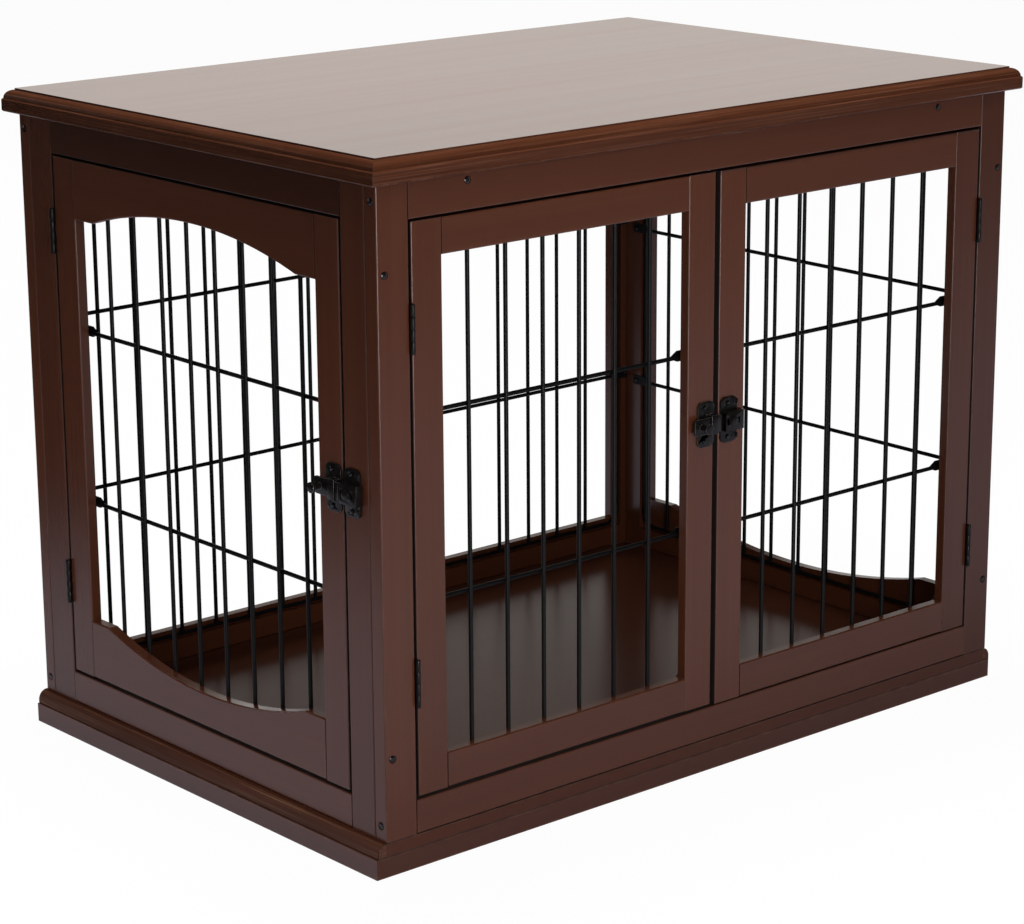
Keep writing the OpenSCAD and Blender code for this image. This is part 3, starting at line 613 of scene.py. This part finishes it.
@dataclass(frozen=True)
class Coating:
    """Black coating on a metal piece."""

    coat: RGB
    rubbed: RGB
    roughness: float
    wear: float
    scale: float = 900.0
    relief: float = 0.00003
    metallic: float = 0.0
    sheen: float = 0.5
    recess: float = 0.0

    def material(self, name: str) -> bpy.types.Material:
        """Makes the finish.

        Args:
            name: The material's name.

        Returns:
            The material.
        """
        material, s, shader = new_material(name)
        shader.inputs["Metallic"].default_value = self.metallic
        shader.inputs["Specular IOR Level"].default_value = self.sheen
        values = {
            "Coat": rgba(self.coat),
            "Rubbed": rgba(self.rubbed),
            "Scale": self.scale,
            "Wear": self.wear,
            "Roughness": self.roughness,
        }
        coords = s.add("ShaderNodeTexCoord")
        node = s.group("black_coating", coords.outputs["Object"], values)
        colour, height, relief = node.outputs["Color"], node.outputs["Height"], self.relief
        # Painted shade: the cross recess and the ring where the head meets the wood are darkened to near
        # black.
        if self.recess:
            cross = s.group("cross_recess", coords.outputs["UV"], {})
            painted_hollow_shade = s.math("MAXIMUM", cross.outputs["Mask"], cross.outputs["Rim"])
            colour = s.blend(painted_hollow_shade, colour, rgba(RECESS_PAINTED_SHADE))
            solid = s.math("SUBTRACT", 1.0, cross.outputs["Mask"])
            height, relief = s.math("MULTIPLY_ADD", height, 0.06, solid), self.recess
        s.link(colour, shader, "Base Color")
        s.link(node.outputs["Roughness"], shader, "Roughness")
        bump = s.add("ShaderNodeBump", {"Strength": 1.0, "Distance": relief, "Height": height})
        s.link(bump.outputs[0], shader, "Normal")
        return material


FRAME_WOOD = Lacquer(
    dark=(0.050, 0.0145, 0.0066),
    light=(0.088, 0.0270, 0.0124),
    worn=(0.16, 0.065, 0.040),
    wear=0.25,
    joint=0.5,
)
TOP_WOOD = Lacquer(
    dark=(0.046, 0.0140, 0.0062),
    light=(0.080, 0.0250, 0.0110),
    worn=(0.20, 0.095, 0.060),
    fibre=0.6,
    gloss=0.10,
    joint=0.3,
)
BASE_WOOD = Lacquer(
    dark=(0.044, 0.0135, 0.0070),
    light=(0.076, 0.0240, 0.0125),
    worn=(0.22, 0.110, 0.060),
    fibre=0.6,
    wear=0.5,
    joint=0.4,
    streak=0.9,
    matt=0.4,
)
FLOOR_WOOD = replace(BASE_WOOD, joint=0.95, joint_width=0.0016, specular=0.3)
INNER_WOOD = Lacquer(
    dark=(0.040, 0.0130, 0.0070), light=(0.070, 0.0230, 0.0125), worn=(0.12, 0.05, 0.035), gloss=0.3
)
WIRE_COAT = Coating(
    coat=(0.0035, 0.0034, 0.0036), rubbed=(0.012, 0.012, 0.012), roughness=0.42, wear=0.25, sheen=0.18
)
FITTING_COAT = Coating(
    coat=(0.0058, 0.0049, 0.0044), rubbed=(0.045, 0.040, 0.036), roughness=0.22, wear=0.25, sheen=0.27
)
# Pale coat on the fittings' rounded edges: partly rubbed wear, partly painted highlight.
EDGE_WEAR_AND_HIGHLIGHT_COAT = Coating(
    coat=(0.15, 0.142, 0.13), rubbed=(0.50, 0.48, 0.45), roughness=0.20, wear=0.9, sheen=0.8, metallic=0.6
)
HINGE_COAT = Coating(
    coat=(0.0050, 0.0038, 0.0038), rubbed=(0.020, 0.016, 0.015), roughness=0.34, wear=0.25, sheen=0.25
)
SCREW_COAT = Coating(
    coat=(0.0045, 0.0038, 0.0038),
    rubbed=(0.050, 0.046, 0.044),
    roughness=0.17,
    wear=0.3,
    sheen=0.7,
    recess=0.0006,
)
PIN_STEEL = Coating(
    coat=(0.030, 0.030, 0.030), rubbed=(0.10, 0.10, 0.10), roughness=0.30, wear=0.5, metallic=1.0
)


# Wooden boards

WOOD_SLOTS: dict[str, Lacquer] = {
    "top_wood": TOP_WOOD,
    "frame_wood": FRAME_WOOD,
    "base_wood": BASE_WOOD,
    "inner_wood": INNER_WOOD,
}
OWN_FINISH: dict[str, Lacquer] = {"floor_board": FLOOR_WOOD}
OFFSET_STEP: RGB = (0.37, 0.113, 0.071)
# Tone factors by board. left_top_rail is darkened as painted shade under the top's overhang;
# left_bottom_rail, base_left_rail and side_door_bottom_rail are lightened as painted light near the floor;
# front_right_stile and right_door_hinge_stile are darkened as painted falloff of light to the right. The
# other factors are the boards' own tone.
BOARD_TONES_AND_PAINTED_LIGHT: dict[str, float] = {
    "front_left_stile": 1.05,
    "front_right_stile": 0.80,
    "right_door_hinge_stile": 0.88,
    "left_door_lock_stile": 1.08,
    "right_door_lock_stile": 1.12,
    "front_top_rail": 0.95,
    "left_top_rail": 0.6,
    "left_front_stile": 0.95,
    "left_back_stile": 0.92,
    "side_door_lock_stile": 1.05,
    "side_door_bottom_rail": 1.06,
    "left_bottom_rail": 1.12,
    "base_left_rail": 1.25,
}
# The floor board's shade is painted shade on its top face.
MOULDED: dict[str, Moulding] = {
    "top_board": Moulding(inset=0.0125),
    "floor_board": Moulding(inset=0.009, reach=1.0, shade=0.2),
}
LEAVES: dict[str, tuple[str, ...]] = {
    "front_": ("left_door", "right_door"),
    "left_door_": ("left_door",),
    "right_door_": ("right_door",),
    "side_door_": ("side_door",),
    "left_": ("side_door",),
}
DOOR_BOARDS: tuple[str, ...] = ("hinge_stile", "lock_stile", "top_rail", "bottom_rail")


@dataclass
class Boards:
    """Dresses the wooden nodes, each cut from its own place in the wood."""

    nodes: dict[str, bpy.types.Object]
    rows: dict[str, tuple[Grain, Lacquer]] = field(default_factory=dict)

    def sort(self) -> None:
        """Picks each board's finish from its slot and its grain's direction from its longest side."""
        for name in sorted(self.nodes):
            materials = self.nodes[name].data.materials
            slot = materials[0].name if materials else ""
            finish = next((f for key, f in WOOD_SLOTS.items() if slot.startswith(key)), None)
            if finish is None:
                continue
            low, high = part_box(name)
            size = high - low
            longest = max(range(3), key=lambda axis: size[axis])
            self.rows[name] = (list(Grain)[longest], OWN_FINISH.get(name, finish))

    def dress(self) -> None:
        """Gives every board its own material."""
        for index, (name, (grain, finish)) in enumerate(self.rows.items()):
            low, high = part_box(name)
            offset = scaled(OFFSET_STEP, index)
            # For some boards the tone is painted light and shade.
            tone = BOARD_TONES_AND_PAINTED_LIGHT.get(name, 1.0)
            cut = Cut(grain, offset, low, high, tone, self.leaf(name), MOULDED.get(name))
            self.nodes[name].data.materials[0] = finish.material("wood_" + name, cut)
            LOG.info("board %s, grain %s", name, grain.value)

    def leaf(self, name: str) -> Leaf | None:
        """Finds the doors that a board borders or belongs to.

        Args:
            name: The board's node.

        Returns:
            Their leaf, open through the wall, or nothing for a board away from the doors.
        """
        doors = next((doors for start, doors in LEAVES.items() if name.startswith(start)), None)
        if doors is None:
            return None
        boxes = [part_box(f"{door}_{board}") for door in doors for board in DOOR_BOARDS]
        low, high = span(corner for box in boxes for corner in box)
        through = 0 if doors[0] == "side_door" else 1
        face = low[through]
        low[through], high[through] = low[through] - 1.0, high[through] + 1.0
        return Leaf(low, high, (1.0, 0.0, 0.0) if through == 0 else (0.0, 1.0, 0.0), face)


# Pieces that stand for plain nodes

BODIES: dict[str, str] = {
    "left_door": "left_door",
    "right_door": "right_door",
    "side_door": "side_door",
    "front_bolt_plate": "left_door",
    "side_bolt_plate": "side_door",
    "front_keeper": "right_door",
    "front_bolt": "front_bolt",
    "side_bolt": "side_bolt",
}


def span(points: Iterable[Vector]) -> tuple[Vector, Vector]:
    """Gives the lowest and the highest corner of the box round some points."""
    axes = list(zip(*points))
    return Vector([min(axis) for axis in axes]), Vector([max(axis) for axis in axes])


def across(offset: Vector, along: int) -> float:
    """Gives a point's distance from an axis through the origin."""
    return math.hypot(*(offset[axis] for axis in range(3) if axis != along))


def islands(shape: bmesh.types.BMesh) -> list[list[Vector]]:
    """Splits a mesh into its loose parts.

    Args:
        shape: The mesh.

    Returns:
        The points of each part.
    """
    found, seen = [], set()
    for start in shape.verts:
        if start in seen:
            continue
        seen.add(start)
        stack, part = [start], []
        while stack:
            vert = stack.pop()
            part.append(vert.co.copy())
            for edge in vert.link_edges:
                other = edge.other_vert(vert)
                if other not in seen:
                    seen.add(other)
                    stack.append(other)
        found.append(part)
    return found


def merged_copy(node: bpy.types.Object) -> bmesh.types.BMesh:
    """Copies a node's mesh for rework and merges its doubled points.

    Args:
        node: The node.

    Returns:
        The copy.
    """
    shape = bmesh.new()
    shape.from_mesh(node.data)
    bmesh.ops.remove_doubles(shape, verts=shape.verts, dist=MERGE_GAP)
    return shape


def finish_piece(
    shape: bmesh.types.BMesh, name: str, materials: Iterable[bpy.types.Material], smooth: bool = True
) -> bpy.types.Object:
    """Turns a mesh under construction into a piece with smooth rounds and crisp edges.

    Args:
        shape: The mesh, which is freed.
        name: The piece's name.
        materials: Its materials.
        smooth: Whether it has rounds to smooth.

    Returns:
        The piece.
    """
    bmesh.ops.recalc_face_normals(shape, faces=shape.faces)
    mesh = bpy.data.meshes.new(name)
    shape.to_mesh(mesh)
    shape.free()
    for material in materials:
        mesh.materials.append(material)
    if smooth:
        mesh.shade_smooth()
        mesh.set_sharp_from_angle(angle=SMOOTH_ANGLE)
    else:
        mesh.shade_flat()
    piece = bpy.data.objects.new(name, mesh)
    bpy.context.scene.collection.objects.link(piece)
    return piece


def stand_for(piece: bpy.types.Object, node: str) -> None:
    """Lets a piece replace a node, on the body that carries the node.

    Args:
        piece: The piece.
        node: The node's name.
    """
    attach(piece, BODIES.get(next((start for start in BODIES if node.startswith(start)), ""), "cabinet"))
    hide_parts(node)
    LOG.info("piece %s for %s", piece.name, node)


@dataclass
class Fittings:
    """Hinges and latches with the rounded edges of pressed and coated steel."""

    nodes: dict[str, bpy.types.Object]
    endings: tuple[str, ...] = ("hinge_leaves", "bolt_plate", "keeper", "bolt")
    radius: float = 0.0003
    bolt_share: float = 1.7
    segments: int = 2
    flat: float = math.radians(1.0)
    sharp: float = math.radians(38.0)

    def build(self) -> None:
        """Rounds each hinge leaf, latch plate, keeper and bolt."""
        edge = EDGE_WEAR_AND_HIGHLIGHT_COAT.material("coat_rubbed_edge")
        for name in sorted(self.nodes):
            if name.endswith(self.endings):
                self.rounded(name, edge)

    def rounded(self, name: str, edge: bpy.types.Material) -> None:
        """Copies a piece with its edges rounded and lets the copy stand for it.

        Args:
            name: The piece's node.
            edge: The coating of its rounded edges: rubbed wear with a painted highlight.
        """
        source = self.nodes[name]
        shape = merged_copy(source)
        bmesh.ops.dissolve_limit(shape, angle_limit=self.flat, verts=shape.verts, edges=shape.edges)
        corners = [e for e in shape.edges if len(e.link_faces) == 2 and e.calc_face_angle(0.0) > self.sharp]
        rounds = bmesh.ops.bevel(
            shape,
            geom=corners,
            offset=self.radius * (self.bolt_share if name.endswith("bolt") else 1.0),
            segments=self.segments,
            profile=0.5,
            affect="EDGES",
            material=-1,
            clamp_overlap=True,
        )["faces"]
        # Painted highlight with rubbed wear: the rounds of all but the hinge leaves take the pale edge coat.
        if not name.endswith("hinge_leaves"):
            for face in rounds:
                face.material_index = 1
        stand_for(finish_piece(shape, name + ".rounded", [source.data.materials[0], edge]), name)


@dataclass
class HungDoor:
    """The right front door, whose upper edge stands a little nearer the rail than its drop would put it."""

    nodes: dict[str, bpy.types.Object]
    boards: tuple[str, ...] = ("right_door_hinge_stile", "right_door_lock_stile", "right_door_top_rail")
    rise: float = 0.0016
    band: float = 0.001

    def build(self) -> None:
        """Lengthens the stiles and the top rail upwards."""
        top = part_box("right_door_top_rail")[1].z
        for name in self.boards:
            shape = merged_copy(self.nodes[name])
            upper = [vert for vert in shape.verts if vert.co.z > top - self.band]
            bmesh.ops.translate(shape, vec=(0.0, 0.0, self.rise), verts=upper)
            materials = self.nodes[name].data.materials
            stand_for(finish_piece(shape, name + ".hung", materials, smooth=False), name)


@dataclass
class Screws:
    """Screws with domed heads, a cross recess and a thin gap round the head.

    The dome, the gap and what is sunk are shares of the head's radius, and so are the shank's start and
    radius. A head is stepped where the shank is narrower than that share of it. The turn is in radians.
    """

    nodes: dict[str, bpy.types.Object]
    dome: float = 0.34
    gap: float = 0.16
    sunk: float = 0.18
    shank_start: float = 0.3
    shank_radius: float = 0.45
    stepped: float = 0.8
    end_band: float = 0.0002
    turn: float = 0.7
    facets: int = 16
    rings: int = 8
    shank_facets: int = 8

    def build(self) -> None:
        """Makes the screws of every node that holds some."""
        for name in sorted(self.nodes):
            if name.endswith("screws"):
                self.driven(name)

    def driven(self, name: str) -> None:
        """Makes one node's screws as one piece where its plain ones are.

        Args:
            name: The node.
        """
        source = merged_copy(self.nodes[name])
        shape = bmesh.new()
        shape.loops.layers.uv.new("head")
        for number, island in enumerate(islands(source)):
            self.screw(shape, island, number)
        source.free()
        stand_for(finish_piece(shape, name + ".domed", self.nodes[name].data.materials), name)

    def screw(self, shape: bmesh.types.BMesh, island: list[Vector], number: int) -> None:
        """Adds one screw: a domed head and its shank.

        Args:
            shape: The mesh that takes it.
            island: The plain screw's points.
            number: Its number, which turns its recess.
        """
        low, high = span(island)
        middle, size = (low + high) / 2, high - low
        along = max(range(3), key=lambda axis: size[axis])
        ends = {}
        for side, end in ((-1.0, low[along]), (1.0, high[along])):
            rim = [point for point in island if abs(point[along] - end) < self.end_band]
            ends[side] = max(across(point - middle, along) for point in rim)
        side = max(ends, key=lambda key: ends[key])
        tip = middle.copy()
        tip[along] = high[along] if side > 0 else low[along]
        way = Vector((0.0, 0.0, 0.0))
        way[along] = side
        facing = way.to_track_quat("Z", "Y").to_matrix().to_4x4()
        turned = facing @ Matrix.Rotation(self.turn * number, 4, "Z")
        radius = ends[side] * (1.0 - self.gap)
        self.head(shape, radius, Matrix.Translation(tip - way * (self.sunk * radius)) @ turned)
        thin = min(ends.values())
        core = thin if thin < self.stepped * ends[side] else self.shank_radius * radius
        length = size[along] - self.shank_start * radius
        centre = tip - way * (self.shank_start * radius + length / 2)
        self.shank(shape, core, length, Matrix.Translation(centre) @ turned)

    def head(self, shape: bmesh.types.BMesh, radius: float, place: Matrix) -> None:
        """Adds a flattened dome, whose UV map holds the recess.

        Args:
            shape: The mesh that takes it.
            radius: Its radius.
            place: Where it goes.
        """
        verts = bmesh.ops.create_uvsphere(
            shape, u_segments=self.facets, v_segments=self.rings, radius=radius
        )["verts"]
        layer = shape.loops.layers.uv.active
        for face in {face for vert in verts for face in vert.link_faces}:
            face.smooth = True
            for loop in face.loops:
                loop[layer].uv = (loop.vert.co.x / radius, loop.vert.co.y / radius)
        flat = Matrix.Diagonal((1.0, 1.0, self.dome, 1.0))
        bmesh.ops.transform(shape, matrix=place @ flat, verts=verts)

    def shank(self, shape: bmesh.types.BMesh, radius: float, length: float, place: Matrix) -> None:
        """Adds a shank, whose UV map keeps clear of the recess.

        Args:
            shape: The mesh that takes it.
            radius: Its radius.
            length: Its length.
            place: Where it goes.
        """
        verts = bmesh.ops.create_cone(
            shape, cap_ends=True, segments=self.shank_facets, radius1=radius, radius2=radius, depth=length
        )["verts"]
        layer = shape.loops.layers.uv.active
        for face in {face for vert in verts for face in vert.link_faces}:
            for loop in face.loops:
                loop[layer].uv = (1.0, 1.0)
        bmesh.ops.transform(shape, matrix=place, verts=verts)


METAL_SLOTS: dict[str, Coating] = {
    "wire": WIRE_COAT,
    "hinge_metal": HINGE_COAT,
    "latch_metal": FITTING_COAT,
    "screws": SCREW_COAT,
    "pin_steel": PIN_STEEL,
}


@dataclass
class Metalwork:
    """Dresses the wire grids, the hinges, the latches and the screws."""

    nodes: dict[str, bpy.types.Object]

    def dress(self) -> None:
        """Gives each metal slot one finish and puts it on its nodes."""
        made = {slot: finish.material("coat_" + slot) for slot, finish in METAL_SLOTS.items()}
        for name in sorted(self.nodes):
            materials = self.nodes[name].data.materials
            for index, old in enumerate(materials):
                slot = next((key for key in METAL_SLOTS if old and old.name.startswith(key)), None)
                if slot:
                    materials[index] = made[slot]
                    LOG.info("metal %s, %s", name, slot)


# Studio


@dataclass(frozen=True)
class Lamp:
    """A soft area lamp, which either only makes highlights or only lights what is matt."""

    name: str
    place: RGB
    aim: RGB
    size: tuple[float, float]
    watts: float
    glossy: bool = False

    def hang(self) -> None:
        """Adds the lamp to the scene."""
        data = bpy.data.lights.new(self.name, "AREA")
        data.shape = "RECTANGLE"
        data.size, data.size_y = self.size
        data.energy = self.watts
        lamp = bpy.data.objects.new(self.name, data)
        lamp.location = self.place
        way = Vector(self.aim) - Vector(self.place)
        lamp.rotation_euler = way.to_track_quat("-Z", "Y").to_euler()
        lamp.visible_camera = False
        lamp.visible_glossy, lamp.visible_diffuse = self.glossy, not self.glossy
        bpy.context.scene.collection.objects.link(lamp)


LAMPS: tuple[Lamp, ...] = (
    Lamp("key", (-0.75, -1.9, 1.0), (0.0, 0.0, 0.3), (0.8, 0.8), 15.5),
    Lamp("sparkle", (-0.75, -1.9, 0.3), (0.0, 0.0, 0.3), (0.6, 0.6), 13.0, glossy=True),
    Lamp("low_key", (-0.4, -2.0, 0.45), (0.0, 0.0, 0.3), (0.8, 0.8), 6.1),
    Lamp("high_key", (-0.4, -2.2, 3.2), (0.0, 0.0, 0.3), (1.2, 1.2), 32.0),
    Lamp("over_top", (0.0, 0.1, 2.0), (0.0, 0.0, 0.6), (0.9, 0.6), 46.5),
    Lamp("floor_glow", (-1.15, 0.0, 0.6), (-1.15, 0.0001, 0.0), (0.7, 1.0), 5.1),
    Lamp("back", (1.2, 3.0, 2.0), (0.0, 0.0, 0.2), (2.0, 1.0), 63.3),
)
WHITE: tuple[float, float, float, float] = (1.0, 1.0, 1.0, 1.0)


@dataclass
class Studio:
    """Camera, pale floor, soft lamps and a white background.

    Angles are in degrees. Tones and levels are shares of full white.
    """

    focal_mm: float = 106.7237
    sensor_mm: float = 36.0
    clip: tuple[float, float] = (0.05, 60.0)
    place: RGB = (-1.909506, -2.192513, 1.039837)
    yaw: float = 40.84256
    pitch: float = 15.25386
    roll: float = -0.37235
    floor_side: float = 10.0
    floor_middle: RGB = (0.4, 1.0, -0.0006)
    floor_tone: float = 0.62
    floor_white: float = 0.97
    floor_mirrored: RGB = (1.0, 1.0, 1.17)
    front_line: float = -0.27
    backdrop_way: RGB = (0.656, 0.755, 0.0)
    backdrop_tint: RGB = (1.0, 0.99, 0.95)
    room_level: float = 0.02
    soft_level: float = 0.03

    def camera(self) -> None:
        """Sets the camera at the photograph's viewpoint."""
        data = bpy.data.cameras.new("camera")
        data.sensor_width = self.sensor_mm
        data.lens = self.focal_mm
        data.clip_start, data.clip_end = self.clip
        yaw, pitch, roll = (math.radians(v) for v in (self.yaw, self.pitch, self.roll))
        ahead = Vector((math.sin(yaw) * math.cos(pitch), math.cos(yaw) * math.cos(pitch), -math.sin(pitch)))
        right = Vector((math.cos(yaw), -math.sin(yaw), 0.0))
        up = right.cross(ahead)
        sideways = math.cos(roll) * right + math.sin(roll) * up
        above = -math.sin(roll) * right + math.cos(roll) * up
        turn = Matrix((sideways, above, -ahead)).transposed().to_4x4()
        eye = bpy.data.objects.new("camera", data)
        eye.matrix_world = Matrix.Translation(self.place) @ turn
        bpy.context.scene.collection.objects.link(eye)
        bpy.context.scene.camera = eye

    def floor_level(self, s: Sheet) -> Socket:
        """Sets the painted brightness of the floor's glow that gloss mirrors, fading away from the left wall
        and from the front.

        Args:
            s: The floor material's sheet.

        Returns:
            The level's socket.
        """
        x, y, _ = s.split(s.add("ShaderNodeTexCoord").outputs["Object"])
        sweep = s.math("ADD", s.math("MULTIPLY", x, -0.66), s.math("MULTIPLY", y, 0.75))
        beside = s.ramp(sweep, 0.7, 1.35, 0.53, 0.02)
        near, far = s.ramp(y, self.front_line, -0.62, 0.22, 0.44), s.ramp(y, -1.1, -2.5, 0.44, 0.08)
        change = s.math("SUBTRACT", s.math("MINIMUM", near, far), beside)
        in_front = s.math("LESS_THAN", y, self.front_line)
        return s.math("ADD", beside, s.math("MULTIPLY", in_front, change))

    def floor(self) -> None:
        """Adds the pale floor, nearly white to the camera, which keeps the object's shadow; to gloss it is a
        glow whose brightness is painted by place.
        """
        mesh = bpy.data.meshes.new("floor")
        shape = bmesh.new()
        bmesh.ops.create_grid(shape, x_segments=1, y_segments=1, size=0.5)
        bmesh.ops.scale(shape, vec=(self.floor_side, self.floor_side, 1.0), verts=shape.verts)
        bmesh.ops.translate(shape, vec=self.floor_middle, verts=shape.verts)
        shape.to_mesh(mesh)
        shape.free()
        ground = bpy.data.objects.new("floor", mesh)
        material, s, shader = new_material("pale_floor")
        s.tree.nodes.remove(shader)
        path = s.add("ShaderNodeLightPath")
        diffuse = s.add("ShaderNodeBsdfDiffuse", {"Color": rgba((self.floor_tone,) * 3)})
        white = s.add("ShaderNodeEmission", {"Color": WHITE, "Strength": 1.0})
        # Painted reflection: for gloss the floor glows with a painted level instead of its lit colour.
        level = {"Color": rgba(self.floor_mirrored), "Strength": self.floor_level(s)}
        painted_glow = s.add("ShaderNodeEmission", level)
        by_ray = {0: path.outputs["Is Glossy Ray"], 1: diffuse.outputs[0], 2: painted_glow.outputs[0]}
        lit = s.add("ShaderNodeMixShader", by_ray)
        seen = s.math("MULTIPLY", path.outputs["Is Camera Ray"], self.floor_white)
        mix = s.add("ShaderNodeMixShader", {0: seen, 1: lit.outputs[0], 2: white.outputs[0]})
        s.link(mix.outputs[0], s.tree.nodes["Material Output"], "Surface")
        mesh.materials.append(material)
        bpy.context.scene.collection.objects.link(ground)

    def world(self) -> None:
        """Makes the background white, with a low backdrop behind the object that only gloss mirrors."""
        world = bpy.data.worlds.new("studio")
        bpy.context.scene.world = world
        world.use_nodes = True
        s = Sheet(world.node_tree)
        path = s.add("ShaderNodeLightPath")
        direction = s.add("ShaderNodeTexCoord").outputs["Generated"]
        facing = s.measure("DOT_PRODUCT", direction, self.backdrop_way)
        height = s.split(direction)[2]
        rise, fall = s.ramp(height, 0.09, 0.17, 0.84, 1.02), s.ramp(height, 0.24, 0.36, 1.0, 0.0)
        backdrop = s.math("MULTIPLY", s.math("MULTIPLY", rise, fall), s.ramp(facing, 0.25, 0.7))
        room = s.math("ADD", backdrop, self.room_level)
        mirror = s.math("ADD", path.outputs["Is Glossy Ray"], path.outputs["Is Transmission Ray"], clamp=True)
        soft = s.math("MULTIPLY", path.outputs["Is Diffuse Ray"], self.soft_level)
        strength = s.math("ADD", path.outputs["Is Camera Ray"], s.math("MULTIPLY", mirror, room))
        background = world.node_tree.nodes["Background"]
        s.link(s.blend(path.outputs["Is Camera Ray"], rgba(self.backdrop_tint), WHITE), background, "Color")
        s.link(s.math("ADD", strength, soft), background, "Strength")

    def build(self) -> None:
        """Builds the whole studio."""
        self.camera()
        self.floor()
        self.world()
        for lamp in LAMPS:
            lamp.hang()
        bpy.context.scene.view_settings.view_transform = "Standard"


GROUP_MAKERS = (
    make_grain_group,
    make_edge_group,
    make_gap_group,
    make_moulding_group,
    make_recess_group,
    make_coat_group,
)


def main() -> None:
    """Builds the studio, then dresses every piece of the crate."""
    logging.basicConfig(level=logging.INFO, format="%(name)s: %(message)s")
    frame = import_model()
    Studio().build()
    for make in GROUP_MAKERS:
        make()
    boards = Boards(frame["nodes"])
    boards.sort()
    boards.dress()
    Metalwork(frame["nodes"]).dress()
    HungDoor(frame["nodes"]).build()
    Fittings(frame["nodes"]).build()
    Screws(frame["nodes"]).build()


if __name__ == "__main__":
    main()
